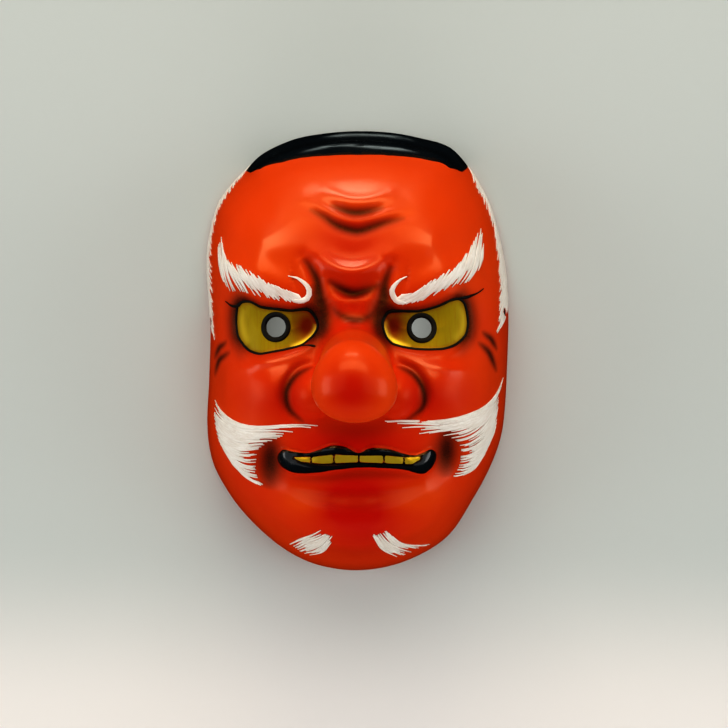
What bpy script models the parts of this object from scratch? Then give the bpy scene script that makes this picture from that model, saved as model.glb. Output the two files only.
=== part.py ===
"""Tengu mask: one hollow papier-mache shell, lying face up on its flat back rim.

Sizes are in millimetres and the finished solid is in metres. +Z comes out of the face along the nose,
+Y points to the hair band, +X is the right hand side of the picture.
"""

import math

import bmesh
import bpy
import numpy as np
from mathutils import Matrix

MM = 0.001

# overall form
FACE_HEIGHT = 72.0
WALL = 2.6
RIM_WIDTH = 2.8
SHOULDER = 3.6
FLARE = 0.125
LEAN = -3.5
CENTRE = (0.4, -11.0)

# back rim, seen from the front, anticlockwise from the left temple over the chin
RIM = [
    (-85.7, 53.9), (-84.0, 18.4), (-84.8, -14.3), (-86.0, -40.6), (-84.0, -59.0), (-78.3, -73.3),
    (-66.2, -91.1), (-47.9, -108.9), (-30.1, -119.7), (-12.3, -124.6), (5.4, -125.2), (23.8, -121.5),
    (41.5, -113.4), (54.1, -103.2), (65.0, -86.4), (75.3, -67.6), (81.9, -49.8), (84.4, -32.0),
    (85.8, -5.1), (86.4, 21.8), (84.5, 48.8), (77.4, 79.1), (70.2, 95.2), (64.4, 104.4),
    (53.0, 116.4), (36.4, 121.6), (19.7, 124.7), (0.8, 125.6), (-17.5, 124.4), (-35.8, 121.0),
    (-53.6, 112.9), (-63.8, 103.4), (-73.1, 93.5), (-80.6, 80.9),
]

# nose
NOSE_TIP = 161.0
NOSE_BULB = 146.0
NOSE_ROOT = 70.0
BULB_HALF = (16.9, 16.4)
NECK_HALF = (16.0, 16.6)
ROOT_HALF = (18.0, 22.0)
BULB_CENTRE_Y = -14.3
ROOT_CENTRE_Y = -10.5
EGG = 0.16
WING_X = (-20.0, 18.6)
WING_Y = -21.5
WING_HALF = (13.6, 14.2)
WING_TOP = 84.0
WING_BASE = 60.0

# sight holes and cord holes
EYE_HOLE = 10.2
EYE_HOLES = [(-40.0, 10.9), (32.2, 10.4)]
CORD_HOLE = 4.4
CORD_HOLES = [(-80.5, 16.2, 17.0), (78.5, 20.9, 20.0)]

# outlines of the eyes and of the painted lips
EYES = [
    [
        (-59.9, 22.4), (-56.4, 23.9), (-52.3, 23.4), (-47.3, 20.9), (-40.7, 19.9), (-32.7, 18.9),
        (-24.6, 19.4), (-21.0, 16.8), (-19.0, 11.8), (-20.5, 7.7), (-23.6, 4.5), (-27.6, 1.7),
        (-35.2, -0.3), (-43.3, -1.8), (-48.3, -2.4), (-53.4, -0.8), (-57.4, 2.7), (-60.4, 7.2),
        (-61.4, 13.8), (-60.9, 19.4),
    ],
    [
        (12.8, 12.3), (13.6, 15.3), (16.3, 18.3), (23.4, 18.6), (32.0, 18.9), (41.1, 21.6),
        (46.6, 24.2), (51.2, 25.1), (54.2, 22.9), (55.7, 18.1), (56.2, 12.8), (54.7, 7.2),
        (49.6, 2.4), (43.6, 0.2), (36.8, -0.3), (29.4, -0.1), (21.9, 1.2), (16.3, 3.7), (13.8, 7.7),
    ],
]
LIPS = [
    (-39.2, -53.7), (-36.2, -49.5), (-30.3, -50.3), (-23.9, -50.8), (-19.0, -49.3), (-14.0, -47.3),
    (-9.6, -46.6), (-4.2, -47.8), (1.1, -50.5), (5.7, -48.3), (10.6, -47.8), (16.8, -48.8),
    (23.4, -51.2), (28.8, -52.0), (32.8, -50.8), (36.7, -49.5), (39.7, -52.0), (38.7, -57.2),
    (34.2, -61.3), (30.3, -61.3), (23.4, -59.1), (12.6, -58.1), (1.2, -57.9), (-9.6, -58.9),
    (-20.4, -60.6), (-28.8, -61.1), (-33.7, -60.1), (-37.7, -57.7),
]
TEETH_LINE = [(-31.0, -52.9), (-16.0, -54.2), (0.0, -54.6), (14.0, -54.4), (28.5, -54.0)]

# mesh
SECTORS = 176
TIP_ROWS = 9
SHAFT_ROWS = 12
FILLET_ROWS = 5
FACE_ROWS = 52
LINING_ROWS = list(range(0, 70, 2)) + list(range(70, 77))
TRIANGLES = 9600


def smoothstep(edge0, edge1, value):
    t = np.clip((value - edge0) / (edge1 - edge0), 0.0, 1.0)
    return t * t * (3.0 - 2.0 * t)


def spline(a, b, c, d, t):
    return 0.5 * (2 * b + (c - a) * t + (2 * a - 5 * b + 4 * c - d) * t**2 + (3 * b - a - 3 * c + d) * t**3)


def smooth_loop(points, steps):
    """A closed Catmull-Rom curve through the points."""
    p = np.array(points, dtype=float)
    t = np.arange(steps)[:, None] / steps
    out = [spline(p[i - 1], p[i], p[(i + 1) % len(p)], p[(i + 2) % len(p)], t) for i in range(len(p))]
    return np.vstack(out)


def smooth_line(points, count):
    """A Catmull-Rom curve through the points, with that many points evenly along it."""
    p = np.array(points, dtype=float)
    p = np.vstack([2 * p[0] - p[1], p, 2 * p[-1] - p[-2]])
    t = np.arange(12)[:, None] / 12
    fine = np.vstack([spline(*p[i:i + 4], t) for i in range(len(p) - 3)] + [p[-2:-1]])
    run = np.concatenate([[0.0], np.cumsum(np.linalg.norm(np.diff(fine, axis=0), axis=1))])
    want = np.linspace(0.0, run[-1], count)
    return np.array([np.interp(want, run, fine[:, i]) for i in range(fine.shape[1])]).T


def rim_radius(theta):
    loop = smooth_loop(RIM, 8) - np.array(CENTRE)
    angle = np.arctan2(loop[:, 1], loop[:, 0])
    order = np.argsort(angle)
    return np.interp(theta, angle[order], np.hypot(loop[:, 0], loop[:, 1])[order], period=2 * math.pi)


def near(x, y, points):
    """Distance from the line through the points, and how far along it, 0 to 1."""
    p = np.array(points, dtype=float)
    length = np.hypot(*(p[1:] - p[:-1]).T)
    before = np.concatenate([[0.0], np.cumsum(length)])
    best = np.full(np.shape(x), 1e9)
    along = np.zeros(np.shape(x))
    for i in range(len(p) - 1):
        dx, dy = p[i + 1] - p[i]
        t = np.clip(((x - p[i][0]) * dx + (y - p[i][1]) * dy) / length[i] ** 2, 0.0, 1.0)
        d = np.hypot(x - p[i][0] - t * dx, y - p[i][1] - t * dy)
        closer = d < best
        along = np.where(closer, (before[i] + t * length[i]) / before[-1], along)
        best = np.where(closer, d, best)
    return best, along


def outside(x, y, loop):
    """Signed distance from a closed loop, negative inside it."""
    d, _ = near(x, y, np.vstack([loop, loop[:1]]))
    inside = np.zeros(np.shape(x), dtype=bool)
    for i in range(len(loop)):
        ax, ay = loop[i - 1]
        bx, by = loop[i]
        if ay == by:
            continue
        crosses = (ay > y) != (by > y)
        inside ^= crosses & (x < (bx - ax) * (y - ay) / (by - ay) + ax)
    return np.where(inside, -d, d)


def bump(x, y, cx, cy, rx, ry, turn=0.0):
    c, s = math.cos(math.radians(turn)), math.sin(math.radians(turn))
    u = ((x - cx) * c + (y - cy) * s) / rx
    v = ((y - cy) * c - (x - cx) * s) / ry
    return np.exp(-u * u - v * v)


def fold(x, y, points, width):
    """A rounded ridge along a line, dying away toward both ends."""
    d, t = near(x, y, smooth_line(points, 25))
    return np.exp(-((d / width) ** 2)) * np.sqrt(np.sin(math.pi * np.clip(t, 0.03, 0.97)))


def relief(x, y):
    """Height of the carved features above the plain dome of the face."""
    z = 2.0 * bump(x, y, -2, 78, 46, 24)

    # brow muscles, the ridges under the painted eyebrows and the hollows of the temples
    z += 5.0 * bump(x, y, -47, 52, 15, 17, 20) + 5.0 * bump(x, y, 38, 52, 15, 17, -20)
    z += 5.5 * fold(x, y, [(-70, 46), (-58, 38), (-44, 31), (-32, 26), (-26, 28)], 9.0)
    z += 5.5 * fold(x, y, [(64, 48), (51, 39), (38, 31), (26, 26), (20, 28)], 9.0)

    # creases of the forehead
    z -= 1.2 * fold(x, y, [(-15, 72.4), (-8, 69.2), (-1.5, 67.4), (5, 67.9), (16, 71.2)], 2.3)
    z += 1.0 * fold(x, y, [(-16, 79.0), (-7, 75.0), (0, 73.6), (7, 74.4), (16, 78.0)], 3.4)
    z -= 1.4 * fold(x, y, [(-26, 70.6), (-16.5, 65.6), (-10, 61), (0, 58), (7, 60), (14, 62), (26, 66)], 2.6)
    z += 0.8 * fold(x, y, [(-20, 71.5), (-11, 65.4), (-1, 62.6), (8, 63.8), (20, 68.2)], 2.6)

    # rolls of skin between the brows, each with a crease below it
    z += 3.8 * fold(x, y, [(-19, 46), (-11, 39.5), (-2, 37.2), (7, 39.5), (13, 45)], 5.0)
    z -= 2.3 * fold(x, y, [(-14, 34.5), (-8, 29), (-2.5, 27.2), (4, 29), (9, 33)], 2.6)
    z += 2.6 * fold(x, y, [(-13, 26), (-7, 21.6), (-2, 20.6), (3, 21.6), (9, 25.5)], 3.9)
    z -= 1.6 * fold(x, y, [(-12, 19.4), (-7, 15.6), (-2, 13.8), (4, 14.6), (9, 18)], 2.2)
    z -= 3.4 * fold(x, y, [(-28, 49), (-22.5, 41), (-19.5, 33), (-17, 24)], 3.6)
    z -= 3.4 * fold(x, y, [(19.5, 47), (15.5, 40), (13.5, 32), (12, 23)], 3.6)

    # sockets, lids and eyeballs
    z -= 8.0 * bump(x, y, -39, 11, 27, 17, -5) + 8.0 * bump(x, y, 33, 11, 27, 17, 5)
    for loop, corner in zip(EYES, ((-24, 10), (17, 10))):
        d = outside(x, y, smooth_loop(loop, 3))
        z += 4.0 * (1.0 - np.exp(np.minimum(d, 0.0) / 6.0))
        z += 1.3 * np.exp(-(((d - 2.6) / 2.8) ** 2))
        z -= 3.6 * bump(x, y, corner[0], corner[1], 7.0, 7.5)

    # cheeks, muzzle, corners of the mouth and chin
    z += 5.5 * bump(x, y, -45, -18, 25, 15, -8) + 5.5 * bump(x, y, 40, -17, 25, 15, 8)
    z += 3.5 * bump(x, y, 0, -42, 32, 12)
    z -= 2.2 * fold(x, y, [(-21, -7), (-29, -10), (-34, -17), (-34.5, -25), (-31, -32), (-24, -37)], 2.4)
    z -= 2.2 * fold(x, y, [(19, -7), (27, -10), (32.5, -17), (33, -25), (29.5, -32), (22, -37)], 2.4)
    z -= 4.5 * bump(x, y, -44, -57, 8, 11) + 4.5 * bump(x, y, 44.5, -54, 8, 11)
    z -= 3.0 * fold(x, y, [(-36, -66), (-18, -70), (0, -71), (18, -69.5), (36, -65)], 5.5)
    z += 8.0 * bump(x, y, 0, -88, 34, 19)

    # lips with the teeth set back between them
    d = outside(x, y, smooth_loop(LIPS, 3))
    z += 3.8 * (1.0 - np.exp(np.minimum(d - 1.0, 0.0) / 2.4))
    z -= 4.2 * fold(x, y, TEETH_LINE, 3.4)
    return z


def lean(x, y, z):
    """The front of the mask sits a little left of its rim, more so toward the top."""
    return x + LEAN * smoothstep(-40.0, 60.0, y) * np.clip(z / FACE_HEIGHT, 0.0, 1.0)


def face_point(theta, r):
    """A point of the face in direction theta, at the fraction r of the way out to the rim."""
    level = np.sqrt(np.clip(1.0 - r**SHOULDER, 0.0, 1.0))
    reach = rim_radius(theta) * r * (1.0 - FLARE * level)
    reach += hair_band(theta, FACE_HEIGHT * level)
    y = CENTRE[1] + reach * np.sin(theta)
    z = FACE_HEIGHT * level
    x = lean(CENTRE[0] + reach * np.cos(theta), y, z)
    z = z + relief(x, y) * (1.0 - smoothstep(0.84, 0.96, r))
    return x, y, nose_wings(x, y, z)


def hair_band(theta, z):
    """Two rounded ridges with a valley between them, across the top of the wall."""
    top = 1.0 - smoothstep(22.0, 31.0, np.degrees(np.abs(theta - 0.5 * math.pi)))
    ridges = 0.4 * np.exp(-(((z - 7.0) / 6.0) ** 2)) + 1.4 * np.exp(-(((z - 34.0) / 6.0) ** 2))
    return top * (ridges - 1.8 * np.exp(-(((z - 21.0) / 7.0) ** 2)))


def nose_wings(x, y, z):
    for cx in WING_X:
        e = ((x - cx) / WING_HALF[0]) ** 2 + ((y - WING_Y) / WING_HALF[1]) ** 2
        wing = WING_BASE + (WING_TOP - WING_BASE) * np.sqrt(np.clip(1.0 - e, 0.0, 1.0))
        wing = wing - 60.0 * np.maximum(e - 1.0, 0.0)
        z = 0.5 * (z + wing + np.sqrt((z - wing) ** 2 + 3.0))
    return z


def nose_section(theta, z):
    """The nose at height z: tall at the root, an egg with its narrow end up at the tip."""
    q = np.clip((z - NOSE_ROOT) / (NOSE_BULB - NOSE_ROOT), 0.0, 1.0)
    keys = (0.0, 0.28, 0.6, 0.85, 1.0)
    middle = [0.45 * n + 0.55 * b for n, b in zip(NECK_HALF, ROOT_HALF)]
    a = np.interp(q, keys, (ROOT_HALF[0], middle[0], NECK_HALF[0], 0.985 * BULB_HALF[0], BULB_HALF[0]))
    b = np.interp(q, keys, (ROOT_HALF[1], middle[1], NECK_HALF[1], 0.985 * BULB_HALF[1], BULB_HALF[1]))
    cap = np.sqrt(np.clip(1.0 - (np.maximum(z - NOSE_BULB, 0.0) / (NOSE_TIP - NOSE_BULB)) ** 2, 0.0, 1.0))
    radius = cap * a * b / np.hypot(b * np.cos(theta), a * np.sin(theta))
    egg = 1.0 - EGG * smoothstep(0.0, 0.8, q) * np.sin(theta)
    y = ROOT_CENTRE_Y + (BULB_CENTRE_Y - ROOT_CENTRE_Y) * q + radius * np.sin(theta)
    return lean(CENTRE[0] + radius * np.cos(theta) * egg, y, FACE_HEIGHT), y


def root_reach(theta):
    """Distance from the centre to the foot of the nose, and the radius of the fillet round it."""
    x, y = nose_section(theta, np.full_like(theta, NOSE_ROOT))
    fillet = 4.0 + 8.0 * smoothstep(0.55, 1.0, np.sin(theta)) + 2.0 * smoothstep(0.6, 1.0, -np.sin(theta))
    return np.hypot(x - lean(CENTRE[0], y, FACE_HEIGHT), y - CENTRE[1]), fillet


def surface():
    """Rows of points from the nose tip to the back rim, as an array rows x sectors x 3."""
    theta = 2 * math.pi * np.arange(SECTORS) / SECTORS
    rows = []
    for i in range(TIP_ROWS):
        turn = 0.5 * math.pi * i / TIP_ROWS
        z = np.full(SECTORS, NOSE_BULB + (NOSE_TIP - NOSE_BULB) * math.cos(turn))
        x, y = nose_section(theta, z)
        rows.append((x, y, z))

    reach, fillet = root_reach(theta)
    whole = rim_radius(theta) * (1.0 - FLARE)
    foot = face_point(theta, reach / whole)
    top = foot[2] + fillet
    for i in range(SHAFT_ROWS):
        z = NOSE_BULB + (top - NOSE_BULB) * i / (SHAFT_ROWS - 1)
        x, y = nose_section(theta, z)
        rows.append((x, y, z))

    first = (reach + fillet) / whole
    start = np.array(rows[-1])
    corner = np.array([*nose_section(theta, foot[2]), foot[2]])
    end = np.array(face_point(theta, first))
    for i in range(1, FILLET_ROWS):
        t = i / FILLET_ROWS
        rows.append(start * (1 - t) ** 2 + corner * 2 * t * (1 - t) + end * t**2)

    # rows spaced evenly along each meridian, so the wall is as finely divided as the face
    fine = np.linspace(0.0, 1.0, 241)
    spread = []
    for k in range(SECTORS):
        angle = math.asin(min(1.0, first[k] ** (SHOULDER / 2)))
        a = angle + (0.5 * math.pi - angle) * fine
        r = np.sin(a) ** (2 / SHOULDER)
        run = np.hypot(np.diff(r) * whole[k], np.diff(np.cos(a)) * FACE_HEIGHT)
        run = np.concatenate([[0.0], np.cumsum(run)]) / np.sum(run)
        spread.append(np.interp(np.linspace(0.0, 1.0, FACE_ROWS), run, r))
    spread = np.array(spread)
    for i in range(FACE_ROWS):
        x, y, z = face_point(theta, spread[:, i])
        rows.append((x, y, z))
    return np.array([np.array(row).T for row in rows])


def row_normals(points):
    down = np.gradient(points, axis=0)
    round_ = np.roll(points, -1, axis=1) - np.roll(points, 1, axis=1)
    normal = np.cross(down, round_)
    normal[0] = (0.0, 0.0, 1.0)
    return normal / np.linalg.norm(normal, axis=2, keepdims=True)


def soften(field, rounds):
    """Average each point with its neighbours in the grid; the first and last rows stay."""
    for _ in range(rounds):
        field = 0.5 * field + 0.25 * (np.roll(field, 1, axis=1) + np.roll(field, -1, axis=1))
        field[1:-1] = 0.5 * field[1:-1] + 0.25 * (field[:-2] + field[2:])
    return field


def lining(points):
    """The inside of the shell: softer than the outside, never closer to it than the wall needs."""
    smooth = soften(points.copy(), 10)
    normal = row_normals(smooth)
    sunk = np.sum((smooth - points) * normal, axis=2)
    extra = np.maximum(sunk - 0.7, 0.0)
    extra = soften(np.maximum.reduce([extra, np.roll(extra, 1, axis=1), np.roll(extra, -1, axis=1)]), 3)
    inner = smooth - normal * (WALL + extra)[:, :, None]
    rim = points[-1]
    flat = row_normals(points)[-1] * (1.0, 1.0, 0.0)
    inner[-1] = rim - RIM_WIDTH * flat / np.linalg.norm(flat, axis=1, keepdims=True)
    inner[-1, :, 2] = 0.0
    return inner


def skin(points):
    """Spin a row of vertices, on the axis at both ends, into a closed sheet, then set it to the points."""
    rows, sectors = points.shape[:2]
    bm = bmesh.new()
    verts = [bm.verts.new((min(i, rows - 1 - i), 0.0, -i)) for i in range(rows)]
    edges = [bm.edges.new(pair) for pair in zip(verts, verts[1:])]
    bmesh.ops.spin(
        bm, geom=verts + edges, cent=(0, 0, 0), axis=(0, 0, 1), dvec=(0, 0, 0),
        angle=2 * math.pi, steps=sectors, use_merge=True,
    )
    bmesh.ops.remove_doubles(bm, verts=list(bm.verts), dist=1e-4)
    for vert in bm.verts:
        k = round(math.atan2(vert.co.y, vert.co.x) / (2 * math.pi) * sectors) % sectors
        vert.co = points[round(-vert.co.z), k] * MM
    return bm


def shell_mesh():
    outer = surface()
    inner = lining(outer)
    for sheet in (outer, inner):
        sheet[0] = sheet[0].mean(axis=0)
    bm = skin(np.concatenate([outer, inner[LINING_ROWS][::-1]]))
    bmesh.ops.triangulate(bm, faces=list(bm.faces))
    bmesh.ops.recalc_face_normals(bm, faces=list(bm.faces))
    return bm


def add_object(name, bm):
    mesh = bpy.data.meshes.new(name)
    bm.to_mesh(mesh)
    bm.free()
    obj = bpy.data.objects.new(name, mesh)
    bpy.context.scene.collection.objects.link(obj)
    return obj


def punches():
    """Rods for the sight holes, along the nose, and for the cord holes, through the side walls."""
    bm = bmesh.new()
    for x, y in EYE_HOLES:
        bmesh.ops.create_cone(
            bm, cap_ends=True, segments=24, radius1=0.5 * EYE_HOLE * MM, radius2=0.5 * EYE_HOLE * MM,
            depth=60 * MM, matrix=Matrix.Translation((x * MM, y * MM, 62 * MM)),
        )
    for x, y, z in CORD_HOLES:
        place = Matrix.Translation((x * MM, y * MM, z * MM)) @ Matrix.Rotation(math.pi / 2, 4, "Y")
        bmesh.ops.create_cone(
            bm, cap_ends=True, segments=12, radius1=0.5 * CORD_HOLE * MM, radius2=0.5 * CORD_HOLE * MM,
            depth=24 * MM, matrix=place,
        )
    return add_object("punches", bm)


def lacquer():
    mat = bpy.data.materials.new("red_lacquer")
    mat.use_nodes = True
    shader = mat.node_tree.nodes["Principled BSDF"]
    shader.inputs["Base Color"].default_value = (0.72, 0.045, 0.006, 1.0)
    shader.inputs["Roughness"].default_value = 0.32
    shader.inputs["Coat Weight"].default_value = 0.6
    return mat


def main():
    for obj in list(bpy.data.objects):
        bpy.data.objects.remove(obj)

    shell = add_object("shell", shell_mesh())
    holes = punches()
    cut = shell.modifiers.new("holes", "BOOLEAN")
    cut.operation = "DIFFERENCE"
    cut.solver = "EXACT"
    cut.object = holes
    count = len(shell.data.polygons)
    thin = shell.modifiers.new("facets", "DECIMATE")
    thin.ratio = TRIANGLES / (count + 600)

    depsgraph = bpy.context.evaluated_depsgraph_get()
    mesh = bpy.data.meshes.new_from_object(shell.evaluated_get(depsgraph))
    mesh.name = "mask"
    for vert in mesh.vertices:
        if abs(vert.co.z) < 0.25 * MM:
            vert.co.z = 0.0
    mesh.polygons.foreach_set("use_smooth", [True] * len(mesh.polygons))
    mesh.materials.clear()
    mesh.materials.append(lacquer())
    mask = bpy.data.objects.new("mask", mesh)
    bpy.context.scene.collection.objects.link(mask)
    bpy.data.objects.remove(shell)
    bpy.data.objects.remove(holes)


main()
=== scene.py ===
"""Tengu mask: the looks of the papier-mache shell, its lacquer, airbrushed shading, gold, ink and hair.

Sizes are in millimetres until they reach a mesh or a light, which are in metres. +Z comes out of the
face along the nose, +Y points to the hair band, +X is the right hand side of the picture.
"""

import math
import random

import bmesh
import bpy
import numpy as np
from mathutils import Matrix, Vector
from mathutils.bvhtree import BVHTree


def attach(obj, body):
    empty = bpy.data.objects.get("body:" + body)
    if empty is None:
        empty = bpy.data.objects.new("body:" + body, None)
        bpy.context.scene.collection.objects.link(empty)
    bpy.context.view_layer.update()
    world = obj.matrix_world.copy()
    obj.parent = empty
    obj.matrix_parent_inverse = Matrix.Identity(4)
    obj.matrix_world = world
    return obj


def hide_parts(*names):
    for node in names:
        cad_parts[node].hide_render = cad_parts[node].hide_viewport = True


MM = 0.001

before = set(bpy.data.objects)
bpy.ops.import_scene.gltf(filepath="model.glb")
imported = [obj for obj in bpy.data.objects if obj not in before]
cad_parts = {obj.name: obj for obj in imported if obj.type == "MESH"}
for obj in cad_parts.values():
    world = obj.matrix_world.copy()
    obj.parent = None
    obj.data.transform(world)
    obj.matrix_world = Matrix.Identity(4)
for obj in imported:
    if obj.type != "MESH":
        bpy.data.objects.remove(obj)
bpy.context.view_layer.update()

# overall form, as in the solid
FACE_HEIGHT = 72.0
WALL = 2.6
RIM_WIDTH = 2.8
SHOULDER = 3.6
FLARE = 0.125
LEAN = -3.5
CENTRE = (0.4, -11.0)

# back rim, seen from the front, anticlockwise from the left temple over the chin
RIM = [
    (-85.7, 53.9), (-84.0, 18.4), (-84.8, -14.3), (-86.0, -40.6), (-84.0, -59.0), (-78.3, -73.3),
    (-66.2, -91.1), (-47.9, -108.9), (-30.1, -119.7), (-12.3, -124.6), (5.4, -125.2), (23.8, -121.5),
    (41.5, -113.4), (54.1, -103.2), (65.0, -86.4), (75.3, -67.6), (81.9, -49.8), (84.4, -32.0),
    (85.8, -5.1), (86.4, 21.8), (84.5, 48.8), (77.4, 79.1), (70.2, 95.2), (64.4, 104.4),
    (53.0, 116.4), (36.4, 121.6), (19.7, 124.7), (0.8, 125.6), (-17.5, 124.4), (-35.8, 121.0),
    (-53.6, 112.9), (-63.8, 103.4), (-73.1, 93.5), (-80.6, 80.9),
]

# nose
NOSE_TIP = 161.0
NOSE_BULB = 146.0
NOSE_ROOT = 70.0
BULB_HALF = (16.9, 16.4)
NECK_HALF = (16.0, 16.6)
ROOT_HALF = (18.0, 22.0)
SHAFT_STARTS = (82.0, 92.0)
BULB_CENTRE_Y = -14.3
ROOT_CENTRE_Y = -10.5
EGG = 0.16
WING_X = (-20.0, 18.6)
WING_Y = -21.5
WING_HALF = (13.6, 14.2)
WING_TOP = 84.0
WING_BASE = 60.0

# sight holes and cord holes
EYE_HOLE = 10.2
EYE_HOLES = [(-40.0, 10.9), (32.2, 10.4)]
CORD_HOLE = 4.4
CORD_HOLES = [(-80.5, 16.2, 17.0), (78.5, 20.9, 20.0)]

# outlines of the eyes and of the painted lips
EYES = [
    [
        (-59.9, 22.4), (-56.4, 23.9), (-52.3, 23.4), (-47.3, 20.9), (-40.7, 19.9), (-32.7, 18.9),
        (-24.6, 19.4), (-21.0, 16.8), (-19.0, 11.8), (-20.5, 7.7), (-23.6, 4.5), (-27.6, 1.7),
        (-35.2, -0.3), (-43.3, -1.8), (-48.3, -2.4), (-53.4, -0.8), (-57.4, 2.7), (-60.4, 7.2),
        (-61.4, 13.8), (-60.9, 19.4),
    ],
    [
        (12.8, 12.3), (13.6, 15.3), (16.3, 18.3), (23.4, 18.6), (32.0, 18.9), (41.1, 21.6),
        (46.6, 24.2), (51.2, 25.1), (54.2, 22.9), (55.7, 18.1), (56.2, 12.8), (54.7, 7.2),
        (49.6, 2.4), (43.6, 0.2), (36.8, -0.3), (29.4, -0.1), (21.9, 1.2), (16.3, 3.7), (13.8, 7.7),
    ],
]
LIPS = [
    (-39.2, -53.7), (-36.2, -49.5), (-30.3, -50.3), (-23.9, -50.8), (-19.0, -49.3), (-14.0, -47.3),
    (-9.6, -46.6), (-4.2, -47.8), (1.1, -50.5), (5.7, -48.3), (10.6, -47.8), (16.8, -48.8),
    (23.4, -51.2), (28.8, -52.0), (32.8, -50.8), (36.7, -49.5), (39.7, -52.0), (38.7, -57.2),
    (34.2, -61.3), (30.3, -61.3), (23.4, -59.1), (12.6, -58.1), (1.2, -57.9), (-9.6, -58.9),
    (-20.4, -60.6), (-28.8, -61.1), (-33.7, -60.1), (-37.7, -57.7),
]
TEETH_LINE = [(-31.0, -52.9), (-16.0, -54.2), (0.0, -54.6), (14.0, -54.4), (28.5, -54.0)]

# painted teeth: their upper and lower edges from left to right, and the dark gaps between them
TEETH_TOP = [
    (-30.5, -52.9), (-21.6, -52.7), (-10.8, -51.1), (1.2, -51.8), (13.4, -51.6), (23.7, -52.9), (31.2, -52.7),
]
TEETH_LOW = [
    (-30.5, -53.3), (-27.0, -55.0), (-16.7, -55.9), (1.2, -55.2), (13.4, -55.7), (27.1, -56.2), (31.2, -54.0),
]
TEETH_GAPS = [-22.1, -10.9, 1.2, 13.4, 23.2]
GAP_HALF = 0.45

# ink: the lash lines past the eyes' outer corners and the tick at the left inner corner
LASHES = [
    ([(-67.6, 24.9), (-64.4, 22.6), (-60.8, 22.0), (-57.8, 23.1)], 0.75),
    ([(65.2, 31.4), (60.9, 28.5), (55.3, 26.2), (50.3, 25.4)], 0.75),
    ([(-26.9, 1.6), (-23.8, 1.8), (-20.1, 1.3)], 0.35),
]
RING_MIDDLE = 6.3
RING_WIDTH = 2.3

# where the black hair band starts, as x and the height above the rim
HAIRLINE = [
    (-66.0, -8.0), (-62.5, 12.0), (-58.0, 25.0), (-51.5, 35.0), (-39.5, 39.4), (-27.7, 41.2),
    (-14.0, 42.6), (1.1, 43.1), (17.3, 42.0), (29.9, 40.0), (39.6, 39.2), (49.5, 36.0), (57.0, 25.0),
    (61.5, 12.0), (65.0, -8.0),
]

# the glossy black starts this far inside the hairline and the edge of the lips
BAND_MARGIN = -1.2
LIP_MARGIN = -0.5

# dark brown paint: the mask's own airbrushing in the creases, round the eyes and nose wings and at the mouth
# corners, together with painted shade in those hollows; the broad stroke under the nose is a painted shadow
# of the nose. Line, half width in mm at its middle, strength. Each stroke thins out to both ends
AIRBRUSH_AND_SHADE = [
    ([(-13.5, 71.6), (-8.0, 69.2), (-1.5, 67.4), (5.0, 67.9), (14.0, 70.4)], 2.3, 0.95),
    ([(-24.0, 69.6), (-16.5, 65.6), (-10.0, 61.0), (-3.0, 58.4), (1.5, 58.0), (7.0, 59.6), (14.0, 62.2),
      (24.5, 64.8)], 2.4, 0.95),
    ([(-14.5, 34.0), (-8.0, 29.8), (-1.5, 27.2), (5.0, 28.4), (12.8, 32.0)], 2.6, 1.0),
    ([(-12.0, 20.2), (-8.0, 16.6), (-3.0, 14.4), (1.2, 14.0), (6.0, 15.6), (9.6, 18.6)], 2.2, 0.9),
    ([(-26.0, 44.5), (-22.6, 40.0), (-19.6, 34.5), (-18.2, 27.0), (-16.2, 18.0), (-16.4, 8.0)], 2.5, 1.0),
    ([(-21.5, 32.0), (-19.0, 24.0), (-16.5, 15.0), (-17.2, 5.0)], 4.4, 0.85),
    ([(17.5, 41.0), (15.3, 36.0), (13.7, 30.0), (13.2, 23.0), (11.4, 14.0), (11.2, 6.0)], 2.6, 1.0),
    ([(15.5, 31.0), (13.4, 24.0), (11.2, 15.0), (11.6, 5.0)], 4.2, 0.85),
    ([(-20.5, -8.6), (-27.6, -11.8), (-32.0, -16.4), (-34.1, -22.4), (-32.4, -29.6), (-25.2, -35.8)],
     1.7, 1.0),
    ([(-22.5, -9.6), (-31.8, -15.0), (-35.0, -23.0), (-30.0, -33.0)], 4.0, 0.3),
    ([(19.0, -8.4), (25.4, -11.0), (29.6, -14.6), (32.6, -20.6), (32.2, -28.4), (24.0, -34.6)], 1.7, 1.0),
    ([(21.0, -9.4), (29.8, -13.8), (33.6, -21.5), (28.6, -31.0)], 4.0, 0.3),
    ([(-42.5, -41.0), (-43.2, -55.0), (-44.8, -71.0)], 7.4, 1.0),
    ([(45.0, -37.0), (45.2, -50.0), (45.6, -65.0)], 7.0, 1.0),
    # painted shadow of the nose across the upper lip
    ([(-20.0, -38.0), (0.0, -39.5), (20.0, -37.0)], 6.5, 0.3),
    ([(-34.0, -64.0), (-18.0, -63.8), (0.0, -61.5), (18.0, -61.8), (32.0, -63.5)], 2.4, 0.35),
    ([(-67.0, 4.6), (-70.0, 2.6), (-72.8, 1.0), (-77.0, -5.0)], 1.9, 1.0),
    ([(-64.5, -1.0), (-69.0, -3.2), (-73.0, -6.0), (-76.6, -14.0)], 1.9, 1.0),
    ([(64.0, 9.4), (67.5, 7.2), (70.2, 5.4), (74.6, -0.5)], 1.9, 1.0),
    ([(61.5, 3.8), (65.5, 1.2), (69.0, -2.2), (74.2, -12.0)], 2.1, 1.0),
]

# painted highlights: pale gold along the rims of the eyes, where they would catch the light. Line, half
# width, strength
EYE_HIGHLIGHTS = [
    ([(-57.2, 20.5), (-58.0, 14.0), (-56.6, 7.0), (-54.0, 2.5)], 2.0, 0.35),
    ([(-19.9, 12.5), (-20.8, 8.8), (-23.4, 5.6), (-27.2, 2.9), (-33.0, 1.0)], 1.1, 1.0),
    ([(13.4, 13.5), (14.2, 9.0), (16.6, 5.2), (21.5, 2.6), (27.0, 1.2)], 1.1, 1.0),
    ([(51.8, 21.5), (53.6, 16.0), (52.8, 9.5), (49.0, 4.5)], 1.8, 0.3),
]
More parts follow.
